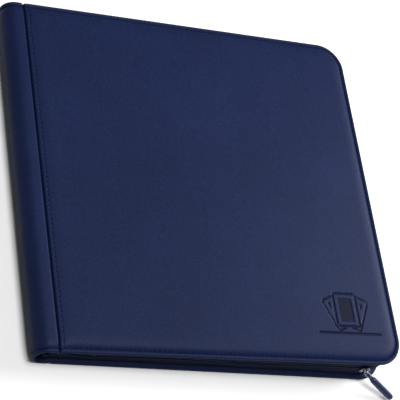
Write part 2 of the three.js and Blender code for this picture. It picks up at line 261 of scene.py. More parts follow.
# ---------- finishes ----------
class Nodes:
    """A material's node tree with short ways to add and join its nodes."""

    def __init__(self, name: str) -> None:
        """Starts a material that holds only its output and a Principled shader.

        Args:
            name: the material's name.
        """
        self.material = bpy.data.materials.new(name)
        self.material.use_nodes = True
        self.tree = self.material.node_tree
        self.shader = self.tree.nodes["Principled BSDF"]
        self.coordinates = self.tree.nodes.new("ShaderNodeTexCoord").outputs["Object"]

    def feed(self, node: Node, inputs: dict[str | int, object]) -> None:
        """Sets a node's sockets.

        Args:
            node: the node.
            inputs: socket names or numbers, each with a value or an output socket to join.
        """
        for key, value in inputs.items():
            if isinstance(value, NodeSocket):
                self.tree.links.new(value, node.inputs[key])
            else:
                node.inputs[key].default_value = value

    def add(self, kind: str, inputs: dict[str | int, object], **settings: object) -> Node:
        """Adds a node.

        Args:
            kind: the node type's name after ShaderNode.
            inputs: the sockets to set or join.
            **settings: properties of the node.

        Returns:
            The new node.
        """
        node = self.tree.nodes.new(f"ShaderNode{kind}")
        for key, value in settings.items():
            setattr(node, key, value)
        self.feed(node, inputs)
        return node

    def noise(self, scale: float, detail: float) -> NodeSocket:
        """A cloudy pattern from 0 to 1."""
        inputs = {"Vector": self.coordinates, "Scale": scale, "Detail": detail}
        return self.add("TexNoise", inputs).outputs["Fac"]

    def tones(self, source: NodeSocket, colour: Colour, *stops: tuple[float, float]) -> NodeSocket:
        """Maps a pattern to darker and lighter tones of a colour.

        Args:
            source: the pattern, from 0 to 1.
            colour: the colour at a factor of 1.
            *stops: places along the pattern, each with its factor.

        Returns:
            The colour.
        """
        ramp = self.add("ValToRGB", {"Fac": source})
        elements = ramp.color_ramp.elements
        for element, (place, factor) in zip(elements, (stops[0], stops[-1])):
            element.position = place
            element.color = (*shade(colour, factor), 1)
        for place, factor in stops[1:-1]:
            elements.new(place).color = (*shade(colour, factor), 1)
        return ramp.outputs["Color"]

    def level(self, source: NodeSocket, low: float, high: float) -> NodeSocket:
        """Maps a value from 0..1 to low..high."""
        return self.add("MapRange", {"Value": source, "To Min": low, "To Max": high}).outputs["Result"]

    def bump(self, height: NodeSocket, depth: float, strength: float) -> None:
        """Raises the surface by a height pattern, over any earlier bump.

        Args:
            height: the pattern, from 0 to 1.
            depth: its height in metres.
            strength: how much of it shows.
        """
        node = self.add("Bump", {"Height": height, "Distance": depth, "Strength": strength})
        before = self.shader.inputs["Normal"].links
        if before:
            self.feed(node, {"Normal": before[0].from_socket})
        self.feed(self.shader, {"Normal": node.outputs["Normal"]})


def shade(colour: Colour, factor: float) -> Colour:
    """A colour made darker or lighter by a factor."""
    return colour[0] * factor, colour[1] * factor, colour[2] * factor


@dataclass(frozen=True)
class Leather:
    """Grained artificial leather: pebbled grain with painted shade in its creases, fine pores and slow changes of
    tone.
    """

    name: str
    colour: Colour
    roughness: float = 0.46
    grain: float = 1100.0
    grain_strength: float = 0.35
    specular: float = 0.06

    def make(self) -> Material:
        """Makes the material.

        Returns:
            The material.
        """
        nodes = Nodes(self.name)
        cells = {"Vector": nodes.coordinates, "Scale": self.grain}
        pebble = nodes.add("TexVoronoi", cells, feature="DISTANCE_TO_EDGE").outputs["Distance"]
        pore = nodes.noise(self.grain * 2.5, 4.0)
        colour = nodes.tones(nodes.noise(14.0, 3.0), self.colour, (0.3, 0.9), (0.55, 1.0), (0.75, 1.12))
        # Painted shade: the colour is darkened along the grain's creases, the edges of its pebbles.
        painted_crease_shade = nodes.tones(pebble, WHITE, (0.0, 0.72), (0.16, 1.0))
        mottle = nodes.tones(nodes.noise(self.grain * 0.6, 2.0), WHITE, (0.3, 0.78), (0.7, 1.2))
        for layer in (painted_crease_shade, mottle):
            inputs = {"Factor": 1.0, 6: colour, 7: layer}
            colour = nodes.add("Mix", inputs, data_type="RGBA", blend_type="MULTIPLY").outputs[2]
        nodes.feed(nodes.shader, {
            "Base Color": colour,
            "Roughness": nodes.level(pore, self.roughness - 0.07, self.roughness + 0.1),
            "Specular IOR Level": self.specular,
        })
        nodes.bump(pebble, 0.12 * MM, self.grain_strength)
        nodes.bump(pore, 0.06 * MM, self.grain_strength)
        return nodes.material


@dataclass(frozen=True)
class Weave:
    """Woven cloth or tape: two crossing sets of threads with a soft sheen."""

    name: str
    colour: Colour
    thread: float = 0.5 * MM
    roughness: float = 0.85

    def make(self) -> Material:
        """Makes the material.

        Returns:
            The material.
        """
        nodes = Nodes(self.name)
        bands = {"Vector": nodes.coordinates, "Scale": 1 / self.thread / WAVE_TURN, "Distortion": 0.6}
        warp, weft = (
            nodes.add("TexWave", bands, bands_direction=direction).outputs["Fac"]
            for direction in ("DIAGONAL", "Y")
        )
        both = nodes.add("Math", {0: warp, 1: weft}, operation="MULTIPLY").outputs["Value"]
        nodes.feed(nodes.shader, {
            "Base Color": nodes.tones(both, self.colour, (0.0, 0.6), (0.8, 1.3)),
            "Roughness": self.roughness,
            "Sheen Weight": 0.15,
        })
        nodes.bump(both, 0.15 * MM, 0.5)
        return nodes.material


@dataclass(frozen=True)
class Film:
    """Clear pocket film over a black core: glossy, with faint clouding and ripples."""

    name: str
    colour: Colour
    roughness: float = 0.2

    def make(self) -> Material:
        """Makes the material.

        Returns:
            The material.
        """
        nodes = Nodes(self.name)
        cloud = nodes.noise(30.0, 4.0)
        nodes.feed(nodes.shader, {
            "Base Color": nodes.tones(cloud, self.colour, (0.3, 0.85), (0.8, 1.3)),
            "Roughness": nodes.level(cloud, self.roughness - 0.06, self.roughness + 0.12),
            "Coat Weight": 0.5,
            "Coat Roughness": 0.12,
        })
        nodes.bump(nodes.noise(55.0, 1.0), 0.5 * MM, 0.35)
        return nodes.material


@dataclass(frozen=True)
class Metal:
    """Plated die-cast metal with fine wear."""

    name: str
    colour: Colour
    roughness: float = 0.28

    def make(self) -> Material:
        """Makes the material.

        Returns:
            The material.
        """
        nodes = Nodes(self.name)
        wear = nodes.noise(900.0, 5.0)
        nodes.feed(nodes.shader, {
            "Base Color": nodes.tones(wear, self.colour, (0.35, 0.85), (0.7, 1.1)),
            "Roughness": nodes.level(wear, self.roughness - 0.1, self.roughness + 0.15),
            "Metallic": 1.0,
        })
        nodes.bump(wear, 0.03 * MM, 0.4)
        return nodes.material


@dataclass(frozen=True)
class Plastic:
    """Moulded or spun plastic, matt to satin, with a faint mottle."""

    name: str
    colour: Colour
    roughness: float = 0.45
    mottle: float = 1500.0
    specular: float = 0.3

    def make(self) -> Material:
        """Makes the material.

        Returns:
            The material.
        """
        nodes = Nodes(self.name)
        mottle = nodes.noise(self.mottle, 3.0)
        nodes.feed(nodes.shader, {
            "Base Color": nodes.tones(mottle, self.colour, (0.3, 0.88), (0.7, 1.12)),
            "Roughness": nodes.level(mottle, self.roughness - 0.06, self.roughness + 0.08),
            "Specular IOR Level": self.specular,
        })
        nodes.bump(mottle, 0.05 * MM, 0.4)
        return nodes.material


@dataclass(frozen=True)
class Board:
    """Pressed grey-brown board, speckled with fibres."""

    name: str
    colour: Colour

    def make(self) -> Material:
        """Makes the material.

        Returns:
            The material.
        """
        nodes = Nodes(self.name)
        fibre = nodes.noise(400.0, 6.0)
        tones = nodes.tones(fibre, self.colour, (0.35, 0.7), (0.65, 1.15))
        nodes.feed(nodes.shader, {"Base Color": tones, "Roughness": 0.9})
        nodes.bump(fibre, 0.2 * MM, 0.5)
        return nodes.material


FINISHES = {
    "cover": Leather("navy cover leather", NAVY),
    # The pressed faces are the navy at 0.35: partly the real darkening and gloss of heat-pressed leather, partly
    # painted shade in the sunk device.
    "pressed": Leather("heat-pressed leather", shade(NAVY, 0.35), roughness=0.3, grain_strength=0.12),
    # Painted shade: the gusset is the cover's navy at half, darkened for the shade under the cover's edge.
    "gusset": Leather(
        "navy gusset leather", shade(NAVY, 0.5), roughness=0.6, grain=1500.0, specular=0.03,
    ),
    # Painted highlight: the zip lips are the cover's navy made lighter, for the light their rolled edges catch.
    "lip": Leather("navy zip lip", shade(NAVY, 1.15), roughness=0.5, grain=1500.0),
    "lining": Weave("black lining cloth", (0.0075, 0.008, 0.0105)),
    # Painted shade: the hem's thread is the navy at 0.3, dark for the shade in its stitch holes.
    "thread": Plastic(
        "navy sewing thread", shade(NAVY, 0.3), roughness=0.7, mottle=4000.0, specular=0.05,
    ),
    # Painted highlight: the seam's thread is the navy at 1.9, pale for the light its stitches catch.
    "seam_thread_painted_highlight": Plastic(
        "pale navy sewing thread", shade(NAVY, 1.9), roughness=0.6, mottle=4000.0, specular=0.1,
    ),
    "tape": Weave("black zip tape", (0.0065, 0.007, 0.0095), thread=0.35 * MM),
    "coil": Plastic("black nylon coil", (0.009, 0.01, 0.014), roughness=0.35),
    "metal": Metal("gunmetal plating", (0.12, 0.13, 0.17)),
    "wire": Metal("bright steel wire", (0.62, 0.65, 0.72), roughness=0.2),
    "sleeve": Plastic("navy moulded sleeve", shade(NAVY, 1.05), roughness=0.42),
    "film": Film("clear film over black", (0.0085, 0.009, 0.0115)),
    "weld": Weave("welded page border", (0.0055, 0.006, 0.0075), thread=0.8 * MM, roughness=0.55),
    "foam": Plastic("grey foam", (0.05, 0.05, 0.06), roughness=0.95, mottle=700.0),
    "board": Board("pressed board", (0.26, 0.2, 0.13)),
}
MATERIALS = {key: finish.make() for key, finish in FINISHES.items()}


# ---------- making pieces ----------
def loft(bm: BMesh, columns: Sequence[float], rows: Sequence[float], place: Place) -> list[BMFace]:
    """Adds a grid whose vertices are placed by a function of two values.

    Args:
        bm: the mesh to add to.
        columns: the first value at each column.
        rows: the second value at each row.
        place: gives the point for a column's and a row's value.

    Returns:
        The new faces.
    """
    across, along = len(columns) - 1, len(rows) - 1
    made = bmesh.ops.create_grid(bm, x_segments=across, y_segments=along, size=1)
    for vert in made["verts"]:
        i = round((vert.co.x + 1) / 2 * across)
        j = round((vert.co.y + 1) / 2 * along)
        vert.co = place(columns[i], rows[j])
    return list({face for vert in made["verts"] for face in vert.link_faces})


def open_edges(bm: BMesh) -> list[BMEdge]:
    """The edges with a face on one side only."""
    return [edge for edge in bm.edges if edge.is_boundary]


def weld(bm: BMesh) -> None:
    """Merges vertices that lie together and drops faces without area."""
    bmesh.ops.remove_doubles(bm, verts=bm.verts, dist=MERGE)
    bmesh.ops.dissolve_degenerate(bm, edges=bm.edges, dist=MERGE)


def close(bm: BMesh) -> None:
    """Merges the seams and caps every hole."""
    weld(bm)
    bmesh.ops.holes_fill(bm, edges=open_edges(bm), sides=0)


def add_tube(bm: BMesh, columns: Sequence[float], place: Place) -> None:
    """Adds a capped tube of four sides, closed on its own so that it merges with nothing else.

    Args:
        bm: the mesh to add to.
        columns: the values along the tube.
        place: gives the point for a value along the tube and a corner from 0 to 4.
    """
    tube = bmesh.new()
    loft(tube, columns, list(range(5)), place)
    close(tube)
    holder = bpy.data.meshes.new("tube")
    tube.to_mesh(holder)
    tube.free()
    bm.from_mesh(holder)
    bpy.data.meshes.remove(holder)


def fill_between(bm: BMesh, outer: list[BMEdge], inner: list[BMEdge]) -> None:
    """Fills the level ring between two convex rims with four faces that meet at their corners.

    Args:
        bm: the mesh to add to.
        outer: the outer rim's edges.
        inner: the inner rim's edges.
    """

    def corners(rim: list[BMEdge]) -> list[BMVert]:
        """The rim's vertices at its four corners."""
        points = [v for e in rim for v in e.verts]
        wanted = ((-1, 1), (-1, -1), (1, -1), (1, 1))
        return [max(points, key=lambda v, x=x, y=y: x * v.co.x + y * v.co.y) for x, y in wanted]

    def chain(rim: list[BMEdge], start: BMVert, end: BMVert) -> list[BMEdge]:
        """The rim's edges outside the line from one of its corners to the next."""
        span = end.co - start.co
        reach = MERGE * span.length
        offsets = {v: span.to_2d().cross((v.co - start.co).to_2d()) for e in rim for v in e.verts}
        return [e for e in rim if all(offsets[v] < reach for v in e.verts)]

    rims = [(rim, corners(rim)) for rim in (outer, inner)]
    bridges = [bm.edges.new(pair) for pair in zip(rims[0][1], rims[1][1])]
    for index in range(4):
        following = (index + 1) % 4
        loop = [bridges[index], bridges[following]]
        for rim, points in rims:
            loop += chain(rim, points[index], points[following])
        bmesh.ops.edgeloop_fill(bm, edges=loop)


def plain_box(bm: BMesh, low: Vector, high: Vector) -> list[BMVert]:
    """Adds a box between two corners.

    Args:
        bm: the mesh to add to.
        low: the lowest corner.
        high: the highest corner.

    Returns:
        The box's vertices.
    """
    made = bmesh.ops.create_cube(bm, size=1)["verts"]
    bmesh.ops.scale(bm, verts=made, vec=high - low)
    bmesh.ops.translate(bm, verts=made, vec=(high + low) / 2)
    return made


def round_edges(bm: BMesh, edges: list[BMEdge], radius: float, segments: int) -> list[BMVert]:
    """Rounds edges and returns the vertices that this makes."""
    return bmesh.ops.bevel(
        bm, geom=edges, offset=radius, segments=segments, profile=0.5, affect="EDGES", material=-1,
        clamp_overlap=True,
    )["verts"]


def rounded_box(bm: BMesh, low: Vector, high: Vector, radius: float, segments: int = 2) -> None:
    """Adds a box between two corners with rounded edges."""
    box = plain_box(bm, low, high)
    round_edges(bm, list({edge for vert in box for edge in vert.link_edges}), radius, segments)


def publish(
    bm: BMesh,
    name: str,
    finishes: Sequence[str],
    sharp_degrees: float = 35.0,
    outwards: bool = True,
) -> Object:
    """Turns a finished bmesh into a piece of the scene.

    Args:
        bm: the mesh, which is freed.
        name: the piece's name.
        finishes: keys of MATERIALS, one for each material index in use.
        sharp_degrees: edges that turn by more than this stay sharp.
        outwards: whether to turn every face outwards first.

    Returns:
        The new object.
    """
    if outwards:
        bmesh.ops.recalc_face_normals(bm, faces=bm.faces)
    mesh = bpy.data.meshes.new(name)
    bm.to_mesh(mesh)
    bm.free()
    mesh.shade_smooth()
    mesh.set_sharp_from_angle(angle=math.radians(sharp_degrees))
    for key in finishes:
        mesh.materials.append(MATERIALS[key])
    piece = bpy.data.objects.new(name, mesh)
    bpy.context.scene.collection.objects.link(piece)
    LOG.info("%s: %d faces", name, len(mesh.polygons))
    return piece


# ---------- covers ----------
@dataclass(frozen=True)
class HemRow:
    """One row of the hem's section.

    It has an inset from the edge and a height over the face, and may be underneath.
    """

    inset: float
    height: float
    under: bool = False


# Insets and heights of the hem's rows, from the inner edge underneath to the field, in millimetres.
HEM_UNDERSIDE = ((7.0, -4.2), (3.6, -4.1), (2.3, -3.75), (1.1, -3.3), (0.35, -2.6))
HEM_BEAD = (
    (0.02, -1.9), (0.05, -1.2), (0.35, -0.62), (0.85, -0.2), (1.45, 0.0), (2.05, -0.04), (2.6, -0.28),
)
HEM_CHANNEL = ((3.1, -0.66), (3.7, -0.95), (4.3, -0.78), (5.0, -0.48), (6.0, -0.2))
HEM_FIELD = tuple((inset, 0.0) for inset in (7.5, 9.5, 12.0, 14.5, 16.0))
HEM_ROWS = tuple(
    HemRow(inset * MM, height * MM, group is HEM_UNDERSIDE)
    for group in (HEM_UNDERSIDE, HEM_BEAD, HEM_CHANNEL, HEM_FIELD)
    for inset, height in group
)
HEM_INDEXES = list(range(len(HEM_ROWS)))
# Distances from the groove to the columns on the spine's side and on the cover's side, in millimetres.
NEAR_GROOVE_GAPS = (5.0, 3.8, 2.9, 2.2, 1.6, 1.1, 0.7, 0.35)
STRIP_GAPS = (0.0, 0.35, 0.7, 1.1, 1.6, 2.1, 2.5, 2.85, 3.2, 3.55, 3.9, 4.4, 5.2, 6.4, 8.0, 10.0)


@dataclass
class CoverShell:
    """A padded cover with its share of the spine: skin, hem, hinge groove, seams and lining."""

    layout: Layout
    side: Side
    crown: float = 1.9 * MM
    crown_fullness: float = 2.6
    spine_padding: float = 0.25
    groove_depth: float = 2.6 * MM
    groove_width: float = 0.7 * MM
    shoulder_round: float = 2.6 * MM
    shoulder_dip: float = 0.5 * MM
    hem_pull: float = 0.8 * MM
    pull_width: float = 0.9 * MM
    seam_offset: float = 3.2 * MM
    seam_strip: float = 12 * MM
    seam_pull: float = 0.35 * MM
    seam_depth: float = 0.25 * MM
    seam_width: float = 0.6 * MM
    seam_fade: float = 3 * MM
    seam_gap: float = 8 * MM
    stitch_size: tuple[float, float, float] = (0.34 * STITCH_PITCH, 0.34 * MM, 0.3 * MM)
    hem_sink: float = 0.05 * MM
    seam_sink: float = 0.02 * MM
    spine_wall: float = 1.65 * MM
    rim: float = -1.9 * MM
    round_step: float = 1.4 * MM
    lining_inset: float = 5.2 * MM
    lining_thickness: float = 0.35 * MM
    lining_gap: float = 0.05 * MM
    lining_overlap: float = 3 * MM
    lining_hem: float = 2.2 * MM
    lining_fold: float = 0.3 * MM
    lining_relief: float = 0.12 * MM

    def padding(self, inset: float, x: float) -> float:
        """Height of the foam's crown over the face.

        Args:
            inset: distance inwards from the cover's edge.
            x: the point's x, since the crown is lower on the spine's side of the groove.

        Returns:
            The height.
        """
        share = min(1.0, max(0.0, (inset - STITCH_INSET) / (HEM_ROWS[-1].inset - STITCH_INSET)))
        lift = 1 - (1 - share) ** self.crown_fullness
        beside_groove = smooth_step(x, self.layout.groove_x, self.layout.groove_x + self.seam_strip)
        return self.crown * lift * (self.spine_padding + (1 - self.spine_padding) * beside_groove)

    def groove(self, x: float) -> float:
        """Depth of the hinge groove and of its rounded shoulders.

        Args:
            x: the point's x.

        Returns:
            The depth.
        """
        offset = x - self.layout.groove_x
        pinch = self.groove_depth * bell(offset, 0, self.groove_width)
        return pinch + self.shoulder_dip * bell(offset, 0, self.shoulder_round)

    def dimple(self, along: float, across: float, depth: float) -> float:
        """Depth of the pull of a row of stitches: along the row, and across it from its line."""
        wave = 0.5 + 0.5 * math.cos(2 * math.pi * along / STITCH_PITCH)
        return depth * wave * bell(across, 0, self.pull_width)

    def seam(self, x: float, y: float) -> float:
        """Depth of the seam that runs beside the groove.

        Args:
            x: the point's x.
            y: the point's y.

        Returns:
            The depth.
        """
        across = x - self.layout.groove_x - self.seam_offset
        reach = self.layout.half_height - abs(y)
        depth = self.dimple(y, across, self.seam_pull) + self.seam_depth * bell(across, 0, self.seam_width)
        return smooth_step(reach, STITCH_INSET, STITCH_INSET + self.seam_fade) * depth

    def height(self, row: HemRow, x: float, y: float, along: float) -> float:
        """Height of the skin over the face.

        Args:
            row: the row of the hem's section.
            x: the point's x.
            y: the point's y.
            along: distance along the hem, which places its stitches.

        Returns:
            The height.
        """
        if row.under:
            return row.height
        raised = row.height + self.padding(row.inset, x) - self.groove(x) - self.seam(x, y)
        return raised - self.dimple(along, row.inset - STITCH_INSET, self.hem_pull)

    # The spine's half section is measured by its length p from the middle of the spine's outer face.
    def section_stops(self) -> tuple[float, float, float]:
        """Lengths at which the section's upright, its round and its flat shoulder end.

        Returns:
            The three lengths.
        """
        upright = self.layout.spine_height / 2 - SPINE_ROUND
        rounded = upright + SPINE_ROUND * math.pi / 2
        return upright, rounded, rounded + SHOULDER_WIDTH - SPINE_ROUND

    def section_point(self, p: float) -> tuple[float, float, float]:
        """A point of the spine's half section.

        Args:
            p: length from the middle of the spine's outer face.

        Returns:
            The point's x and z, and the angle of the outward normal.
        """
        upright, rounded, _ = self.section_stops()
        layout = self.layout
        centre_x, centre_z = layout.spine_x + SPINE_ROUND, layout.spine_height - SPINE_ROUND
        if p < upright:
            return layout.spine_x, layout.spine_height / 2 + p, math.pi
        if p < rounded:
            angle = math.pi - (p - upright) / SPINE_ROUND
            return centre_x + SPINE_ROUND * math.cos(angle), centre_z + SPINE_ROUND * math.sin(angle), angle
        return centre_x + p - rounded, layout.spine_height, math.pi / 2

    def wall(self, p: float) -> float:
        """How deep the shell's inner surface lies under the rim, as a share of the hem's depth there.

        Args:
            p: length from the middle of the spine's outer face.

        Returns:
            1 at the groove, and on the spine the share that leaves the spine's own wall.
        """
        _, rounded, end = self.section_stops()
        thin = (-self.spine_wall - self.rim) / (HEM_ROWS[0].height - self.rim)
        return thin + (1 - thin) * smooth_step(p, rounded, end)

    def spine_columns(self) -> list[float]:
        """Places of the shell's columns, from the groove: the spine's half, then the seam strip.

        Returns:
            The places, negative on the spine.
        """
        upright, rounded, end = self.section_stops()
        flat = [end - gap * MM for gap in NEAR_GROOVE_GAPS]
        section = [p - end for p in (0.0, *spread(upright, rounded, self.round_step), *flat)]
        return section + [gap * MM for gap in STRIP_GAPS] + [self.seam_strip]

    def place_on_spine(self, p: float, y: float, row: HemRow) -> Vector:
        """A point of the shell on the spine's side of the groove.

        Args:
            p: length from the middle of the spine's outer face.
            y: the point's y.
            row: the row of the hem's section.

        Returns:
            The point in the flat frame.
        """
        x, z, angle = self.section_point(p)
        _, _, end = self.section_stops()
        if row.under:
            lift = self.rim + (row.height - self.rim) * self.wall(p)
        else:
            lift = self.height(row, x if angle == math.pi / 2 else self.layout.spine_x, y, end - p)
        return Vector((x + lift * math.cos(angle), y, z + lift * math.sin(angle)))

    def place_on_panel(self, x: float, y: float, row: HemRow, along: float) -> Vector:
        """A point of the shell on the cover's side of the groove."""
        return Vector((x, y, self.layout.spine_height + self.height(row, x, y, along)))

    def place_beside_groove(self, column: float, y: float, row: HemRow) -> Vector:
        """A point of the shell at a distance from the groove, negative on the spine's side."""
        if column < 0:
            return self.place_on_spine(column + self.section_stops()[2], y, row)
        return self.place_on_panel(self.layout.groove_x + column, y, row, column)

    def add_long_runs(self, bm: BMesh) -> None:
        """Adds the bottom and top hems, from the middle of the spine to the corners."""
        columns = self.spine_columns() + spread(self.seam_strip, self.layout.run, HEM_STEP)[1:]
        for edge in (-1, 1):
            def place(column: float, index: float, edge: int = edge) -> Vector:
                """Places a vertex of the bottom (-1) or the top (1) hem."""
                row = HEM_ROWS[round(index)]
                return self.place_beside_groove(column, edge * (self.layout.half_height - row.inset), row)
            loft(bm, columns, HEM_INDEXES, place)

    def add_middle(self, bm: BMesh) -> None:
        """Adds the spine, the groove and the seam strip between the two long hems.

        Args:
            bm: the mesh to add to.
        """
        top = HEM_ROWS[-1]
        reach = self.layout.half_height - top.inset
        rows = spread(-reach, reach, HEM_STEP)
        loft(bm, self.spine_columns(), rows, lambda column, y: self.place_beside_groove(column, y, top))

    def add_fore_edge(self, bm: BMesh) -> None:
        """Adds the hem round both corners and up the fore edge.

        Args:
            bm: the mesh to add to.
        """
        layout = self.layout
        start, end = layout.run, layout.run + 2 * layout.arc + 2 * layout.corner_y
        columns = [
            *spread(start, start + layout.arc, HEM_STEP),
            *spread(start + layout.arc, end - layout.arc, HEM_STEP)[1:],
            *spread(end - layout.arc, end, HEM_STEP)[1:],
        ]

        def place(s: float, index: float) -> Vector:
            """Places a vertex of the hem."""
            row = HEM_ROWS[round(index)]
            x, y, _ = layout.hem_point(s, row.inset)
            return self.place_on_panel(x, y, row, s)

        loft(bm, columns, HEM_INDEXES, place)

    def add_field(self, bm: BMesh) -> None:
        """Fills the flat field inside the hems, round the pressed device if there is one.

        Args:
            bm: the mesh to add to.
        """
        layout = self.layout
        gap = HEM_ROWS[-1].inset
        left, right, reach = layout.groove_x + self.seam_strip, layout.fore_x - gap, layout.half_height - gap
        weld(bm)

        def on_rim(point: Vector) -> bool:
            """Whether a point lies on the field's rim."""
            inside = left - MERGE < point.x < right + MERGE and abs(point.y) < reach + MERGE
            return inside and point.z > layout.spine_height + self.crown / 2

        outer = [e for e in open_edges(bm) if all(on_rim(v.co) for v in e.verts)]
        if self.side is Side.BACK:
            bmesh.ops.edgeloop_fill(bm, edges=outer)
            return
        fill_between(bm, outer, Device(layout).add(bm, layout.spine_height + self.padding(gap, right)))

    def close_underside(self, bm: BMesh) -> None:
        """Closes the shell with an inner surface, marked as the second material.

        Args:
            bm: the mesh to add to.
        """
        layout = self.layout
        inner = HEM_ROWS[0]
        old = set(bm.faces)
        depth = layout.spine_height + inner.height
        rim = open_edges(bm)
        flange = layout.half_height - inner.inset

        def chain(edge: int) -> list[BMEdge]:
            """The inner rim of the bottom (-1) or the top (1) hem."""
            def along(point: Vector) -> bool:
                """Whether a point lies on that rim."""
                return abs(point.y - edge * flange) < MERGE and point.x < layout.corner_x + MERGE
            return [e for e in rim if all(along(v.co) for v in e.verts)]

        def beyond(point: Vector) -> bool:
            """Whether a point lies on the inner rim of the fore edge."""
            return point.x > layout.corner_x - MERGE and abs(point.z - depth) < MERGE

        bmesh.ops.bridge_loops(bm, edges=chain(-1) + chain(1))
        fore = [e for e in open_edges(bm) if all(beyond(v.co) for v in e.verts)]
        bmesh.ops.edgeloop_fill(bm, edges=fore)
        for face in set(bm.faces) - old:
            face.material_index = 1
        bmesh.ops.holes_fill(bm, edges=open_edges(bm), sides=0)

    def build_shell(self) -> Object:
        """Builds the closed shell of skin, foam and board.

        Returns:
            The piece.
        """
        bm = bmesh.new()
        self.add_long_runs(bm)
        self.add_middle(bm)
        self.add_fore_edge(bm)
        self.add_field(bm)
        self.close_underside(bm)
        bmesh.ops.recalc_face_normals(bm, faces=bm.faces)
        self.layout.settle(bm, self.side)
        finishes = ["cover", "lining", "pressed"]
        piece = publish(bm, f"{self.side.value}_cover_shell", finishes, outwards=False)
        nodes = [f"{self.side.value}_cover_{layer}" for layer in ("skin", "foam", "board")]
        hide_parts(*nodes)
        self.bend(piece)
        return piece

    def bend(self, piece: Object) -> None:
        """Bakes a piece's placement into its mesh.

        Args:
            piece: the piece.
        """
        start, end = self.layout.blend_line()
        if self.side is Side.FRONT:
            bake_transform(piece)
            return
        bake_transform(piece)

    def body(self) -> str:
        """The body that this cover belongs to."""
        return f"{self.side.value}_cover"

    def add_stitch(self, bm: BMesh, point: Vector, turn: Matrix, sink: float) -> None:
        """Adds one stitch, a stretched bead of thread lying along its local X.

        Args:
            bm: the mesh to add to.
            point: the place on the skin.
            turn: the stitch's turn, with the skin's normal along Z.
            sink: how deep its middle lies in the skin.
        """
        made = bmesh.ops.create_icosphere(bm, subdivisions=2, radius=1)
        size = Matrix.Diagonal((*self.stitch_size, 1))
        place = Matrix.Translation(point - turn.col[2].to_3d() * sink) @ turn @ size
        bmesh.ops.transform(bm, matrix=place, verts=made["verts"])

    def build_hem_stitches(self) -> Object:
        """Builds the stitches along the hem, on the cover and round both ends of the spine.

        Returns:
            The piece.
        """
        bm = bmesh.new()
        layout = self.layout
        row = next(r for r in HEM_ROWS if r.inset == STITCH_INSET)
        end = self.section_stops()[2]
        for i in range(math.floor(layout.hem_length / STITCH_PITCH)):
            s = (i + 0.5) * STITCH_PITCH
            x, y, angle = layout.hem_point(s, STITCH_INSET)
            turn = Matrix.Rotation(angle + math.pi / 2, 4, "Z")
            self.add_stitch(bm, self.place_on_panel(x, y, row, s), turn, self.hem_sink)
        for i in range(math.floor(end / STITCH_PITCH)):
            p = end - (i + 0.5) * STITCH_PITCH
            turn = Matrix.Rotation(math.pi / 2 - self.section_point(p)[2], 4, "Y")
            for edge in (-1, 1):
                point = self.place_on_spine(p, edge * (layout.half_height - STITCH_INSET), row)
                self.add_stitch(bm, point, turn, self.hem_sink)
        layout.settle(bm, self.side)
        # The hem's stitches take the dark thread, painted shade of the stitch holes.
        piece = publish(bm, f"{self.side.value}_hem_stitches", ["thread"])
        self.bend(piece)
        return piece

    def build_groove_stitches(self) -> Object:
        """Builds the seam's stitches beside the hinge groove.

        Returns:
            The piece.
        """
        bm = bmesh.new()
        layout = self.layout
        x = layout.groove_x + self.seam_offset
        count = math.floor((layout.half_height - self.seam_gap) / STITCH_PITCH) * 2
        turn = Matrix.Rotation(math.pi / 2, 4, "Z")
        for i in range(count):
            y = (i - count / 2 + 0.5) * STITCH_PITCH
            row = HemRow(layout.half_height - abs(y), HEM_ROWS[-1].height)
            self.add_stitch(bm, self.place_on_panel(x, y, row, 0.5 * STITCH_PITCH), turn, self.seam_sink)
        layout.settle(bm, self.side)
        # The seam's stitches take the pale thread, a painted highlight.
        piece = publish(bm, f"{self.side.value}_groove_stitches", ["seam_thread_painted_highlight"])
        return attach(piece, self.body())

    def build_lining(self) -> Object:
        """Builds the cover's inner lining, with a turned edge inside the gusset.

        Returns:
            The piece.
        """
        bm = bmesh.new()
        layout = self.layout
        level = layout.spine_height + HEM_ROWS[0].height - self.lining_gap
        start = layout.groove_x - self.lining_overlap
        reach = layout.half_height - self.lining_inset
        hem = spread(layout.run, layout.hem_length - layout.run, 3 * HEM_STEP)
        free = [layout.hem_point(s, self.lining_inset)[:2] for s in hem]
        outline = [(start, -reach), *free, (start, reach)]
        verts = [bm.verts.new((x, y, level)) for x, y in outline]
        face = bmesh.ops.contextual_create(bm, geom=verts)["faces"][0]
        for width in (self.lining_hem, self.lining_fold):
            bmesh.ops.inset_region(bm, faces=[face], thickness=width, depth=0)
        bmesh.ops.translate(bm, verts=face.verts, vec=(0, 0, self.lining_relief))
        made = bmesh.ops.extrude_face_region(bm, geom=list(bm.faces))
        raised = [g for g in made["geom"] if isinstance(g, BMVert)]
        bmesh.ops.translate(bm, verts=raised, vec=(0, 0, -self.lining_thickness))
        layout.settle(bm, self.side)
        piece = publish(bm, f"{self.side.value}_lining_cloth", ["lining"])
        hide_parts(f"{self.side.value}_cover_lining")
        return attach(piece, self.body())

    def build(self) -> Iterator[Object]:
        """Builds every piece of the cover.

        Returns:
            The pieces in turn.
        """
        yield self.build_shell()
        yield self.build_hem_stitches()
        yield self.build_groove_stitches()
        yield self.build_lining()


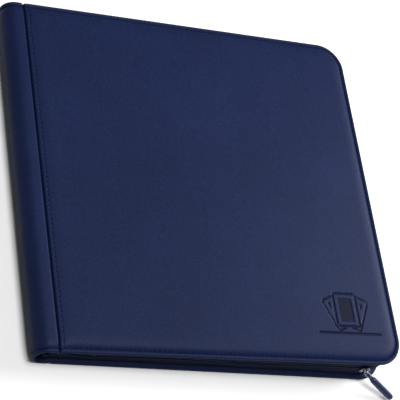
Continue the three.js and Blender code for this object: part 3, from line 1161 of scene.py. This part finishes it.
@dataclass(frozen=True)
class Device:
    """A generic device pressed into the front cover: three blank cards in a fan over a plain rule."""

    layout: Layout
    width: float = 66 * MM
    depth: float = 45 * MM
    edge_gap: float = 17 * MM
    bottom_gap: float = 22.5 * MM
    step: float = 0.5 * MM
    line: float = 0.85 * MM
    line_core: float = 0.2 * MM
    line_fade: float = 0.35 * MM
    sink: float = 0.65 * MM
    card: tuple[float, float] = (11 * MM, 15 * MM)
    card_round: float = 2.2 * MM
    card_lift: float = 3 * MM
    fan: float = math.radians(24)
    fan_foot: float = -13 * MM
    panel_edge: tuple[float, float] = (-4.4 * MM, -3.9 * MM)
    frame_gap: tuple[float, float] = (1.6 * MM, 2.0 * MM)
    panel_gap: tuple[float, float] = (3.4 * MM, 3.9 * MM)
    rule_half: float = 30 * MM
    rule_drop: float = 18.5 * MM
    pressed_share: float = 0.6

    def middle(self) -> tuple[float, float]:
        """The middle of the device on the cover."""
        x = self.layout.fore_x - self.edge_gap - self.width / 2
        return x, self.bottom_gap + self.depth / 2 - self.layout.half_height

    def card_distance(self, x: float, y: float, angle: float) -> float:
        """Distance from a card's outline.

        Args:
            x: the point's x from the device's middle.
            y: the point's y from the device's middle.
            angle: the card's turn about the fan's foot.

        Returns:
            The distance, negative inside the card.
        """
        across, up = x, y - self.fan_foot
        turned_x = across * math.cos(angle) - up * math.sin(angle)
        turned_y = across * math.sin(angle) + up * math.cos(angle) + self.fan_foot - self.card_lift
        dx = abs(turned_x) - self.card[0] + self.card_round
        dy = abs(turned_y) - self.card[1] + self.card_round
        outside = math.hypot(max(dx, 0), max(dy, 0))
        return outside + min(max(dx, dy), 0) - self.card_round

    def stroke(self, distance: float) -> float:
        """Share of the full depth at a distance from a line's middle."""
        return 1 - smooth_step(abs(distance), self.line - self.line_core, self.line + self.line_fade)

    def press(self, x: float, y: float) -> float:
        """Share of the full depth at a point.

        Args:
            x: the point's x from the device's middle.
            y: the point's y from the device's middle.

        Returns:
            The largest share that a line or a card's panel asks for there.
        """
        centre = self.card_distance(x, y, 0)
        shares = [self.stroke(centre), 1 - smooth_step(centre, *self.panel_edge)]
        for angle in (-self.fan, self.fan):
            side = self.card_distance(x, y, angle)
            panel = 1 - smooth_step(side, *self.panel_edge)
            shares.append(self.stroke(side) * smooth_step(centre, *self.frame_gap))
            shares.append(panel * smooth_step(centre, *self.panel_gap))
        rule = math.hypot(max(abs(x) - self.rule_half, 0), y + self.rule_drop)
        return max(*shares, self.stroke(rule))

    def add(self, bm: BMesh, level: float) -> list[BMEdge]:
        """Adds the pressed patch to the cover's field.

        Args:
            bm: the mesh to add to.
            level: the field's height.

        Returns:
            The patch's rim.
        """
        middle_x, middle_y = self.middle()
        columns = spread(-self.width / 2, self.width / 2, self.step)
        rows = spread(-self.depth / 2, self.depth / 2, self.step)

        def place(x: float, y: float) -> Vector:
            """Places a vertex of the patch."""
            return Vector((middle_x + x, middle_y + y, level - self.sink * self.press(x, y)))

        patch = loft(bm, columns, rows, place)
        # Faces sunk past the share take the darker pressed finish: real heat-press darkening with painted shade of
        # the recess.
        for face in patch:
            if face.calc_center_median().z < level - self.pressed_share * self.sink:
                face.material_index = 2
        return [e for e in {e for f in patch for e in f.edges} if e.is_boundary]


# ---------- zip ----------
@dataclass
class ZipBand:
    """One side of the zip: gusset, tape, coil, stops and, on the back, the end tabs."""

    layout: Layout
    side: Side
    gusset_inset: float = 3.3 * MM
    gusset_wall: float = 0.9 * MM
    lip_gap: float = 1.15 * MM
    lip_round: float = 0.75 * MM
    lip_sides: int = 10
    lip_sink: float = 0.1 * MM
    swell: float = 0.45 * MM
    swell_room: float = 0.4 * MM
    swell_share: float = 0.8
    ripples: tuple[tuple[float, float, float], ...] = ((0.3 * MM, 13 * MM, 0.0), (0.15 * MM, 5.1 * MM, 1.0))
    wave: float = 1.5 * MM
    wave_start: float = 55 * MM
    wave_fade: float = 30 * MM
    wave_length: float = 165 * MM
    tuck_start: float = -6 * MM
    tuck_length: float = 33 * MM
    tuck_rise: float = 4.6 * MM
    band_start: float = -4 * MM
    tape_edges: tuple[float, float] = (1.2 * MM, 6.4 * MM)
    tape_thickness: float = 0.45 * MM
    tooth_pitch: float = 1.5 * MM
    tooth_radius: float = 0.42 * MM
    tooth_length: float = 1.7 * MM
    tooth_inset: float = 0.8 * MM
    tooth_rise: float = 0.55 * MM
    head_rise: float = 0.4 * MM
    tooth_head: tuple[float, float, float] = (1.5 * MM, 0.55 * MM, 0.7 * MM)
    stop_grow: tuple[float, float, float] = (0, 0.15 * MM, 0.1 * MM)
    stop_round: float = 0.3 * MM
    tab_round: float = 0.5 * MM

    def sign(self) -> int:
        """+1 above the zip's line for the front, -1 below it for the back."""
        return 1 if self.side is Side.FRONT else -1

    def zip_z(self, s: float) -> float:
        """Height of the zip's wavy line.

        Args:
            s: distance along the hem.

        Returns:
            The height.
        """
        x, _, _ = self.layout.hem_point(s, self.gusset_inset)
        near = min(s, self.layout.hem_length - s)
        fade = smooth_step(near, 0, self.wave_fade)
        ripple = self.wave * fade * math.sin(2 * math.pi * (near - self.wave_start) / self.wave_length)
        tuck = self.tuck_rise * (1 - smooth_step(near, self.tuck_start, self.tuck_length))
        return self.layout.front_face_z(x) / 2 + ripple + tuck

    def root_z(self, s: float) -> float:
        """Height at which the gusset leaves its cover.

        Args:
            s: distance along the hem.

        Returns:
            The height.
        """
        x, _, _ = self.layout.hem_point(s, self.gusset_inset)
        depth = -HEM_ROWS[1].height
        return self.layout.front_face_z(x) - depth if self.side is Side.FRONT else depth

    def sweep(self, bm: BMesh, start: float, outline: Callable[[float], Section]) -> None:
        """Sweeps a closed section along the hem and caps both ends.

        Args:
            bm: the mesh to add to.
            start: distance along the hem at which the sweep starts, and stops short of the other end.
            outline: gives the section's insets and heights at a distance along the hem.
        """
        layout = self.layout
        columns = spread(start, layout.hem_length - start, 2 * HEM_STEP)
        count = len(outline(start))

        def place(s: float, index: float) -> Vector:
            """Places a vertex of the band."""
            inset, z = outline(s)[round(index) % count]
            x, y, _ = layout.hem_point(s, inset)
            return Vector((x, y, z))

        loft(bm, columns, list(range(count + 1)), place)
        close(bm)

    def gusset_outline(self, s: float) -> Section:
        """The gusset's section: a thin, slack wall from its cover to the middle of the lip.

        Args:
            s: distance along the hem.

        Returns:
            The section's insets and heights.
        """
        root = self.root_z(s)
        span = self.zip_z(s) + self.sign() * (self.lip_gap + self.lip_round) - root
        slack = sum(size * math.sin(s / length + phase) for size, length, phase in self.ripples)
        wall = self.gusset_inset + self.swell_room
        outer = []
        for share in (0.0, 0.15, 0.35, 0.55, 0.75, 1.0):
            swell = (self.swell + slack) * math.sin(math.pi * share)
            outer.append((wall - max(swell, 0) * self.swell_share, root + span * share))
        return outer + [(wall + self.gusset_wall, root + span * share) for share in (1.0, 0.5, 0.0)]

    def lip_outline(self, s: float) -> Section:
        """The section of the rolled lip along the zip's line.

        Args:
            s: distance along the hem.

        Returns:
            The section's insets and heights.
        """
        middle = self.zip_z(s) + self.sign() * (self.lip_gap + self.lip_round)
        inset = self.gusset_inset + self.lip_round - self.lip_sink
        turns = [2 * math.pi * i / self.lip_sides for i in range(self.lip_sides)]
        return [(inset + self.lip_round * math.cos(t), middle + self.lip_round * math.sin(t)) for t in turns]

    def build_gusset(self) -> Object:
        """Builds the gusset.

        Returns:
            The piece.
        """
        bm = bmesh.new()
        # The wall takes the darker gusset finish, painted shade.
        self.sweep(bm, self.band_start, self.gusset_outline)
        wall = set(bm.faces)
        self.sweep(bm, self.band_start, self.lip_outline)
        # The lip's faces take the lighter lip finish, a painted highlight.
        for face in set(bm.faces) - wall:
            face.material_index = 1
        piece = publish(bm, f"{self.side.value}_gusset_wall", ["gusset", "lip"], sharp_degrees=60)
        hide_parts(f"{self.side.value}_gusset")
        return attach(piece, f"{self.side.value}_cover")

    def build_tape(self) -> Object:
        """Builds the woven tape behind the gusset.

        Returns:
            The piece.
        """
        bm = bmesh.new()
        low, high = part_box(f"{self.side.value}_zip_tape")
        inset = self.layout.fore_x - high.x
        back = inset + self.tape_thickness

        def outline(s: float) -> Section:
            """The tape's section at a distance along the hem."""
            z = self.layout.front_face_z(self.layout.hem_point(s, inset)[0]) / 2
            near, far = (z + self.sign() * edge for edge in self.tape_edges)
            return [(inset, near), (inset, far), (back, far), (back, near)]

        self.sweep(bm, low.x - self.layout.groove_x, outline)
        piece = publish(bm, f"{self.side.value}_tape_cloth", ["tape"])
        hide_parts(f"{self.side.value}_zip_tape")
        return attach(piece, f"{self.side.value}_cover")

    def build_coil(self) -> Object:
        """Builds the nylon coil: one slanted, rounded tooth after another along the tape's edge.

        Returns:
            The piece.
        """
        bm = bmesh.new()
        low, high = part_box(f"{self.side.value}_zip_teeth")
        inset = self.layout.fore_x - high.x
        start = low.x - self.layout.groove_x + self.tooth_pitch
        count = math.floor((self.layout.hem_length - 2 * start) / self.tooth_pitch)
        shift = 0.5 if self.side is Side.FRONT else 0.0
        for i in range(count):
            s = start + (i + shift) * self.tooth_pitch
            x, y, angle = self.layout.hem_point(s, inset + self.tooth_inset)
            z = self.layout.front_face_z(x) / 2 + self.sign() * self.tooth_rise
            turn = Matrix.Rotation(angle, 4, "Z")
            tooth = bmesh.ops.create_cone(
                bm, cap_ends=True, segments=6, radius1=self.tooth_radius, radius2=self.tooth_radius,
                depth=self.tooth_length,
            )
            place = Matrix.Translation((x, y, z)) @ turn @ Matrix.Rotation(math.pi / 2, 4, "Y")
            bmesh.ops.transform(bm, matrix=place, verts=tooth["verts"])
            head = bmesh.ops.create_cube(bm, size=1)
            size = Matrix.Diagonal((*self.tooth_head, 1))
            place = Matrix.Translation((x, y, z + self.sign() * self.head_rise)) @ turn @ size
            bmesh.ops.transform(bm, matrix=place, verts=head["verts"])
        piece = publish(bm, f"{self.side.value}_coil", ["coil"], sharp_degrees=50)
        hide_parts(f"{self.side.value}_zip_teeth")
        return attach(piece, f"{self.side.value}_cover")

    def build_stops(self) -> Iterator[Object]:
        """Builds the crimped metal stops at both ends of the coil.

        Returns:
            The pieces in turn.
        """
        for end in ("bottom", "top"):
            node = f"{self.side.value}_zip_stop_{end}"
            low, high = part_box(node)
            grow = Vector(self.stop_grow)
            bm = bmesh.new()
            rounded_box(bm, low - grow, high + grow, self.stop_round, 3)
            piece = publish(bm, f"{node}_crimp", ["metal"])
            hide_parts(node)
            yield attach(piece, f"{self.side.value}_cover")

    def build_end_tabs(self) -> Iterator[Object]:
        """Builds the folded tabs beside the spine.

        Returns:
            The pieces in turn.
        """
        for end in ("bottom", "top"):
            node = f"zip_end_tab_{end}"
            low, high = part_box(node)
            bm = bmesh.new()
            rounded_box(bm, low, high, self.tab_round, 3)
            # The tabs take the darker gusset finish, painted shade.
            piece = publish(bm, f"{node}_fold", ["gusset"])
            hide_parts(node)
            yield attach(piece, "back_cover")

    def build(self) -> Iterator[Object]:
        """Builds every piece of this side of the zip.

        Returns:
            The pieces in turn.
        """
        yield self.build_gusset()
        yield self.build_tape()
        yield self.build_coil()
        yield from self.build_stops()
        if self.side is Side.BACK:
            yield from self.build_end_tabs()


# ---------- slider and pull ----------
# The sleeve's radius and place along it, and the boxes of its eye with their rounding, in millimetres.
SLEEVE_PROFILE = (
    (1.2, 1.5), (1.45, 2.1), (1.9, 2.35), (2.1, 3.1), (1.95, 3.5), (2.35, 4.0), (2.75, 4.8), (2.95, 6.0),
    (3.0, 8.0), (3.0, 29.0), (2.95, 30.6), (2.7, 31.9), (2.2, 32.8), (1.4, 33.35), (0.5, 33.5), (0.0, 33.5),
)
SLEEVE_EYE = (
    ((-1.2, -1.25, -1.15), (2.4, -0.5, 1.15), 0.35),
    ((-1.2, 0.5, -1.15), (2.4, 1.25, 1.15), 0.35),
    ((-1.25, -1.25, -1.15), (-0.5, 1.25, 1.15), 0.3),
)


@dataclass
class Slider:
    """The zip's slider with its bail, the wire link and the sleeve that is pulled."""

    layout: Layout
    face: float = 3.8 * MM
    plate_gap: float = 4.3 * MM
    plates: tuple[tuple[float, float], ...] = ((1.4 * MM, 3.75 * MM), (1.0 * MM, 3.6 * MM))
    plate_taper: float = 0.72
    plate_corner: float = 2.2 * MM
    plate_rim: float = 0.3 * MM
    post_low: tuple[float, float, float] = (-1.5 * MM, 4.6 * MM, -0.2 * MM)
    post_high: tuple[float, float, float] = (1.5 * MM, 8.6 * MM, 0.2 * MM)
    post_round: float = 0.1 * MM
    bail_half: float = 2.2 * MM
    bail_sink: float = 0.4 * MM
    bail_thickness: float = 0.75 * MM
    bail_width: float = 0.55 * MM
    bail_squareness: float = 0.6
    link_wire: float = 0.42 * MM
    link_half: float = 2.3 * MM
    link_corner: float = 1.1 * MM
    link_sides: int = 10

    def carriage(self) -> Matrix:
        """The slider's own frame: X along the zip, Z across it, its origin on the zip's line.

        Returns:
            The frame's matrix.
        """
        low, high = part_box("zip_slider_body")
        along = -Vector(joint("zip_slide")["axis"]).normalized()
        across = along.cross(Vector((0, 1, 0)))
        middle = (low + high) / 2
        turn = Matrix((along, Vector((0, 1, 0)), across)).transposed().to_4x4()
        middle.y = low.y
        return Matrix.Translation(middle) @ turn

    def add_plate(self, bm: BMesh, half: float, start: float, thick: float, width: float) -> None:
        """Adds one of the slider's plates, narrower at its front end.

        Args:
            bm: the mesh to add to.
            half: half its length.
            start: its place behind the zip's line.
            thick: its thickness.
            width: half its width.
        """
        plate = plain_box(bm, Vector((-half, start, -width)), Vector((half, start + thick, width)))
        for vert in plate:
            if vert.co.x > 0:
                vert.co.z *= self.plate_taper

        def depth(edge: BMEdge) -> float:
            """How far an edge runs through the plate's thickness."""
            return abs(edge.verts[0].co.y - edge.verts[1].co.y)

        uprights = [e for e in {e for v in plate for e in v.link_edges} if depth(e) > thick / 2]
        rounded = round_edges(bm, uprights, self.plate_corner, 5)
        around = {e for v in rounded for f in v.link_faces for e in f.edges}
        rims = [e for e in around if depth(e) < MERGE and e.calc_face_angle(0) > 0.8]
        round_edges(bm, rims, self.plate_rim, 2)

    def build_body(self) -> Object:
        """Builds the two plates, the post between them and the arched bail.

        Returns:
            The piece.
        """
        bm = bmesh.new()
        low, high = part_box("zip_slider_body")
        starts = (self.face, self.face + self.plate_gap)
        for start, (thick, width) in zip(starts, self.plates):
            self.add_plate(bm, (high.x - low.x) / 2, start, thick, width)
        rounded_box(bm, Vector(self.post_low), Vector(self.post_high), self.post_round)
        self.add_bail(bm)
        bmesh.ops.transform(bm, matrix=self.carriage(), verts=bm.verts)
        piece = publish(bm, "zip_slider", ["metal"])
        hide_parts("zip_slider_body")
        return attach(piece, "zip_slider")

    def add_bail(self, bm: BMesh) -> None:
        """Adds the bail, a flat strap arched over the slider's face, from its outside to the zip's line.

        Args:
            bm: the mesh to add to.
        """
        thick, rise = self.bail_thickness, self.face + self.bail_sink

        def place(t: float, ring: float) -> Vector:
            """Places a vertex of the strap."""
            angle = math.pi * t
            corner = round(ring) % 4
            out = thick if corner in (1, 2) else 0.0
            side = self.bail_width if corner in (2, 3) else -self.bail_width
            flat = abs(math.cos(angle)) ** self.bail_squareness * math.copysign(1, math.cos(angle))
            tall = math.sin(angle) ** self.bail_squareness if 0 < t < 1 else 0.0
            return Vector(((self.bail_half - thick + out) * flat, rise - (rise - thick + out) * tall, side))

        add_tube(bm, spread(0, 1, 1 / 16), place)

    def pull_frame(self) -> Matrix:
        """The pull's own frame: X along it from the bail, Z along the link's bars.

        Returns:
            The frame's matrix.
        """
        eye, far = (Vector(joint(name)["pos_m"]) for name in ("pull_link_hinge", "pull_sleeve_hinge"))
        bar = Vector(joint("pull_sleeve_hinge")["axis"]).normalized()
        along = (far - eye).normalized()
        return Matrix.Translation(eye) @ Matrix((along, bar.cross(along), bar)).transposed().to_4x4()

    def link_length(self) -> float:
        """Distance between the link's two end bars."""
        eye, far = (Vector(joint(name)["pos_m"]) for name in ("pull_link_hinge", "pull_sleeve_hinge"))
        return (far - eye).length

    def build_link(self) -> Object:
        """Builds the wire link, a closed loop with rounded corners.

        Returns:
            The piece.
        """
        bm = bmesh.new()
        corner = self.link_corner
        near, far, top = corner, self.link_length() - corner, self.link_half - corner
        path = []
        for quarter, (x, z) in enumerate(((far, top), (near, top), (near, -top), (far, -top))):
            for step in range(6):
                angle = (quarter + step / 5) * math.pi / 2
                path.append((x + corner * math.cos(angle), z + corner * math.sin(angle), angle))

        def place(index: float, ring: float) -> Vector:
            """Places a vertex of the wire."""
            x, z, angle = path[round(index) % len(path)]
            turn = 2 * math.pi * ring / self.link_sides
            reach, side = self.link_wire * math.cos(turn), self.link_wire * math.sin(turn)
            return Vector((x + reach * math.cos(angle), side, z + reach * math.sin(angle)))

        loft(bm, list(range(len(path) + 1)), list(range(self.link_sides + 1)), place)
        weld(bm)
        bmesh.ops.transform(bm, matrix=self.pull_frame(), verts=bm.verts)
        piece = publish(bm, "pull_wire_link", ["wire"])
        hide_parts("pull_link")
        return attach(piece, "zip_pull_link")

    def build_sleeve(self) -> Object:
        """Builds the sleeve, a moulded round bar with a swaged head, a rounded tip and an eye.

        Returns:
            The piece.
        """
        bm = bmesh.new()
        start = Vector((self.link_length(), 0, 0))
        verts = [bm.verts.new(start + Vector((along, across, 0)) * MM) for across, along in SLEEVE_PROFILE]
        edges = [bm.edges.new(pair) for pair in zip(verts, verts[1:])]
        bmesh.ops.spin(
            bm, geom=verts + edges, cent=(0, 0, 0), axis=(1, 0, 0), dvec=(0, 0, 0), angle=2 * math.pi,
            steps=24, use_merge=True, use_duplicate=False,
        )
        close(bm)
        for low, high, radius in SLEEVE_EYE:
            rounded_box(bm, start + Vector(low) * MM, start + Vector(high) * MM, radius * MM)
        bmesh.ops.transform(bm, matrix=self.pull_frame(), verts=bm.verts)
        piece = publish(bm, "pull_moulded_sleeve", ["sleeve"])
        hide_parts("pull_sleeve")
        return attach(piece, "zip_pull_sleeve")

    def build(self) -> Iterator[Object]:
        """Builds the slider and its pull.

        Returns:
            The pieces in turn.
        """
        yield self.build_body()
        yield self.build_link()
        yield self.build_sleeve()


# ---------- pages ----------
@dataclass
class PageBlock:
    """The bound pages, each a black core between clear, side-loading pockets."""

    layout: Layout
    count: int = 20
    margin: float = 18 * MM
    border: float = 3 * MM
    columns: int = 4
    rows: int = 3
    weld_width: float = 1.3 * MM
    film_lift: float = 0.09 * MM
    notch_radius: float = 9 * MM
    pocket_least: float = 30 * MM
    core_half: float = 0.17 * MM
    film_slope: float = 0.8 * MM
    mouth_gap: float = 2.2 * MM
    mouth_half: float = 0.45 * MM
    mouth_end: float = 1.5 * MM
    mouth_lift: float = 0.04 * MM
    notch_half: float = 0.35 * MM
    notch_lift: float = 0.03 * MM
    strip_inset: float = 1.5 * MM
    strip_round: float = 0.5 * MM
    tongue_overlap: float = 1 * MM
    tongue_inset: float = 2 * MM
    tongue_half: float = 0.07 * MM

    def rest_frame(self, number: int) -> Matrix:
        """A page's own frame: its hinge line at the origin, the page along X.

        Args:
            number: the page's number.

        Returns:
            The frame's matrix.
        """
        angle = -self.layout.tilt * (1 - (number - 0.5) / self.count)
        hinge = Vector(joint(f"page_{number:02d}_hinge")["pos_m"])
        return Matrix.Translation(hinge) @ Matrix.Rotation(angle, 4, "Y")

    def add_pockets(self, bm: BMesh, width: float, height: float) -> None:
        """Adds the pocket field: a weld lattice with a raised film in each pocket, on both sides.

        Args:
            bm: the mesh to add to.
            width: the page's width.
            height: the page's height.
        """
        left, right, reach = self.margin + self.border, width - self.border, height / 2 - self.border
        columns = [self.margin, *spread(left, right, (right - left) / self.columns), width]
        rows = [-height / 2, *spread(-reach, reach, 2 * reach / self.rows), height / 2]
        faces = loft(bm, columns, rows, lambda x, y: Vector((x, y, self.core_half)))
        pockets = [f for f in faces if f.calc_area() > self.pocket_least**2]
        for face in faces:
            face.material_index = 1
        bmesh.ops.inset_individual(bm, faces=pockets, thickness=self.weld_width, depth=0)
        bmesh.ops.inset_individual(bm, faces=pockets, thickness=self.film_slope, depth=self.film_lift)
        for face in pockets:
            face.material_index = 0
        made = bmesh.ops.extrude_edge_only(bm, edges=open_edges(bm))
        lower = [g for g in made["geom"] if isinstance(g, BMVert)]
        bmesh.ops.translate(bm, verts=lower, vec=(0, 0, -self.core_half))
        bmesh.ops.mirror(bm, geom=bm.verts[:] + bm.edges[:] + bm.faces[:], axis="Z", merge_dist=MERGE)
        weld(bm)

    def add_mouths(self, bm: BMesh, width: float, height: float) -> None:
        """Adds each pocket's hemmed mouth and its half-round thumb notch, on both sides.

        Args:
            bm: the mesh to add to.
            width: the page's width.
            height: the page's height.
        """
        pocket_width = (width - self.margin - 2 * self.border) / self.columns
        pocket_height = (height - 2 * self.border) / self.rows
        reach = pocket_height / 2 - self.weld_width - self.mouth_end
        half = Vector((self.mouth_half, reach, self.mouth_lift / 2))
        level = self.core_half + self.film_lift + self.mouth_lift / 2
        places = product(range(self.columns), range(self.rows), (-1, 1))
        for column, row, face in places:
            x = self.margin + self.border + column * pocket_width + self.weld_width + self.mouth_gap
            y = self.border - height / 2 + (row + 0.5) * pocket_height
            middle = Vector((x, y, face * level))
            plain_box(bm, middle - half, middle + half)
            self.add_notch(bm, middle)

    def add_notch(self, bm: BMesh, middle: Vector) -> None:
        """Adds the rolled edge of a half-round thumb notch about its middle."""
        def place(t: float, ring: float) -> Vector:
            """Places a vertex of the edge."""
            angle = math.pi * (t - 0.5)
            corner = round(ring) % 4
            radius = self.notch_radius + (self.notch_half if corner in (1, 2) else -self.notch_half)
            lift = self.notch_lift if corner in (2, 3) else -self.notch_lift
            return middle + Vector((radius * math.cos(angle), radius * math.sin(angle), lift))

        add_tube(bm, spread(0, 1, 1 / 12), place)

    def build_page(self, number: int) -> Object:
        """Builds a page.

        Args:
            number: its number, from 1 at the front cover.

        Returns:
            The page.
        """
        node = f"page_{number:02d}"
        low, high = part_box(node)
        settle = self.rest_frame(number)
        width = (high.x - low.x) / math.cos(settle.to_euler().y)
        height = high.y - low.y
        bm = bmesh.new()
        self.add_pockets(bm, width, height)
        self.add_mouths(bm, width, height)
        reach = height / 2 - self.tongue_inset
        tongue = plain_box(
            bm, Vector((0, -reach, -self.tongue_half)),
            Vector((self.margin + self.tongue_overlap, reach, self.tongue_half)),
        )
        for face in {f for v in tongue for f in v.link_faces}:
            face.material_index = 1
        bmesh.ops.transform(bm, matrix=settle, verts=bm.verts)
        piece = publish(bm, f"{node}_pockets", ["film", "weld"], sharp_degrees=20)
        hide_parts(node)
        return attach(piece, f"{node}_leaf")

    def build_strip(self) -> Object:
        """Builds the binding strip with its rounded ends.

        Returns:
            The piece.
        """
        low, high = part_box("page_binding_strip")
        bm = bmesh.new()
        inset = Vector((0, 0, self.strip_inset))
        rounded_box(bm, low + inset, high - inset, self.strip_round, 3)
        piece = publish(bm, "binding_strip", ["lining"])
        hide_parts("page_binding_strip")
        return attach(piece, "spine")

    def build(self) -> Iterator[Object]:
        """Builds the pages and their binding strip.

        Returns:
            The pieces in turn.
        """
        yield self.build_strip()
        for number in range(1, self.count + 1):
            yield self.build_page(number)


def build_spine_lining(layout: Layout) -> Object:
    """Builds the lining of the spine, a cloth strip between the two shells' inner rounds.

    Args:
        layout: the binder's main lines.

    Returns:
        The piece.
    """
    low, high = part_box("spine_lining")
    bm = bmesh.new()
    margin = Vector(SPINE_LINING_MARGIN)
    rounded_box(bm, low + margin, high - margin, SPINE_LINING_ROUND)
    piece = publish(bm, "spine_lining_cloth", ["lining"])
    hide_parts("spine_lining", "spine_skin", "spine_board")
    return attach(piece, "spine")


# ---------- studio ----------
@dataclass(frozen=True)
class Studio:
    """A plain pale floor, soft light and the camera."""

    azimuth: float = -47.447
    elevation: float = 49.996
    roll: float = 46.108
    distance: float = 1.34521
    lens: float = 141.446
    target: tuple[float, float, float] = (1.346 * MM, -8.612 * MM, 16 * MM)
    sensor: float = 36.0
    floor_size: float = 12.0
    floor_gap: float = 0.2 * MM
    floor_tone: float = 0.72
    sky_strength: float = 0.12

    def add_floor(self) -> None:
        """Adds the floor just under the object."""
        bm = bmesh.new()
        bmesh.ops.create_grid(bm, x_segments=1, y_segments=1, size=self.floor_size)
        bmesh.ops.translate(bm, verts=bm.verts, vec=(0, 0, CAD_BOX[0].z - self.floor_gap))
        mesh = bpy.data.meshes.new("studio_floor")
        bm.to_mesh(mesh)
        bm.free()
        nodes = Nodes("pale floor")
        tone = (*shade(WHITE, self.floor_tone), 1)
        nodes.feed(nodes.shader, {"Base Color": tone, "Roughness": 1.0, "Specular IOR Level": 0.0})
        mesh.materials.append(nodes.material)
        floor = bpy.data.objects.new("studio_floor", mesh)
        bpy.context.scene.collection.objects.link(floor)

    def add_light(self, name: str, place: Vector, power: float, size: float) -> None:
        """Adds a square area light aimed at the object.

        Args:
            name: the light's name.
            place: where it stands.
            power: its power in watts.
            size: the length of its side.
        """
        data = bpy.data.lights.new(name, "AREA")
        data.energy = power
        data.size = size
        light = bpy.data.objects.new(name, data)
        light.location = place
        light.rotation_mode = "QUATERNION"
        light.rotation_quaternion = (-place).to_track_quat("-Z", "Y")
        bpy.context.scene.collection.objects.link(light)

    def add_lights(self) -> None:
        """Adds the soft box over the fore edge, a weak fill and an even sky."""
        self.add_light("overhead", Vector((0.1, -0.3, 3.0)), 100.0, 1.4)
        self.add_light("side_box", Vector((0.95, 0.2, 0.6)), 15.5, 0.5)
        world = bpy.data.worlds.new("sky")
        world.use_nodes = True
        sky = world.node_tree.nodes["Background"].inputs
        sky["Color"].default_value = (*WHITE, 1)
        sky["Strength"].default_value = self.sky_strength
        bpy.context.scene.world = world
        bpy.context.scene.view_settings.view_transform = "Standard"

    def add_camera(self) -> None:
        """Adds the camera, turned about its own axis by the roll."""
        azimuth, elevation, roll = (math.radians(v) for v in (self.azimuth, self.elevation, self.roll))
        right = Vector((math.cos(azimuth), math.sin(azimuth), 0))
        level_back = Vector((math.sin(azimuth), -math.cos(azimuth), 0))
        back = level_back * math.cos(elevation) + Vector((0, 0, math.sin(elevation)))
        above = back.cross(right)
        x_axis = right * math.cos(roll) + above * math.sin(roll)
        y_axis = above * math.cos(roll) - right * math.sin(roll)
        data = bpy.data.cameras.new("camera")
        data.lens = self.lens
        data.sensor_width = self.sensor
        data.clip_end = 100
        camera = bpy.data.objects.new("camera", data)
        turn = Matrix((x_axis, y_axis, back)).transposed().to_4x4()
        camera.matrix_world = Matrix.Translation(Vector(self.target) + back * self.distance) @ turn
        bpy.context.scene.collection.objects.link(camera)
        bpy.context.scene.camera = camera

    def build(self) -> None:
        """Sets the stage."""
        self.add_camera()
        self.add_floor()
        self.add_lights()


def dress_inner_nodes() -> None:
    """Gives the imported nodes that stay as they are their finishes."""
    finishes = {"foam": "foam", "board": "board", "lining": "lining", "skin": "cover"}
    for name, node in frame["nodes"].items():
        key = next((finish for word, finish in finishes.items() if name.endswith(word)), "metal")
        node.data.materials.clear()
        node.data.materials.append(MATERIALS[key])


def report(assembly: CoverShell | ZipBand | Slider | PageBlock) -> None:
    """Builds an assembly and reports each of its pieces."""
    for piece in assembly.build():
        LOG.info("%s is in place", piece.name)


def main() -> None:
    """Builds the binder and its studio in order."""
    logging.basicConfig(level=logging.INFO, format="%(name)s %(message)s")
    layout = Layout.from_frame()
    Studio().build()
    dress_inner_nodes()
    assemblies = [kind(layout, side) for side in Side for kind in (CoverShell, ZipBand)]
    for assembly in assemblies:
        report(assembly)
    build_spine_lining(layout)
    for assembly in (Slider(layout), PageBlock(layout)):
        report(assembly)


if __name__ == "__main__":
    main()
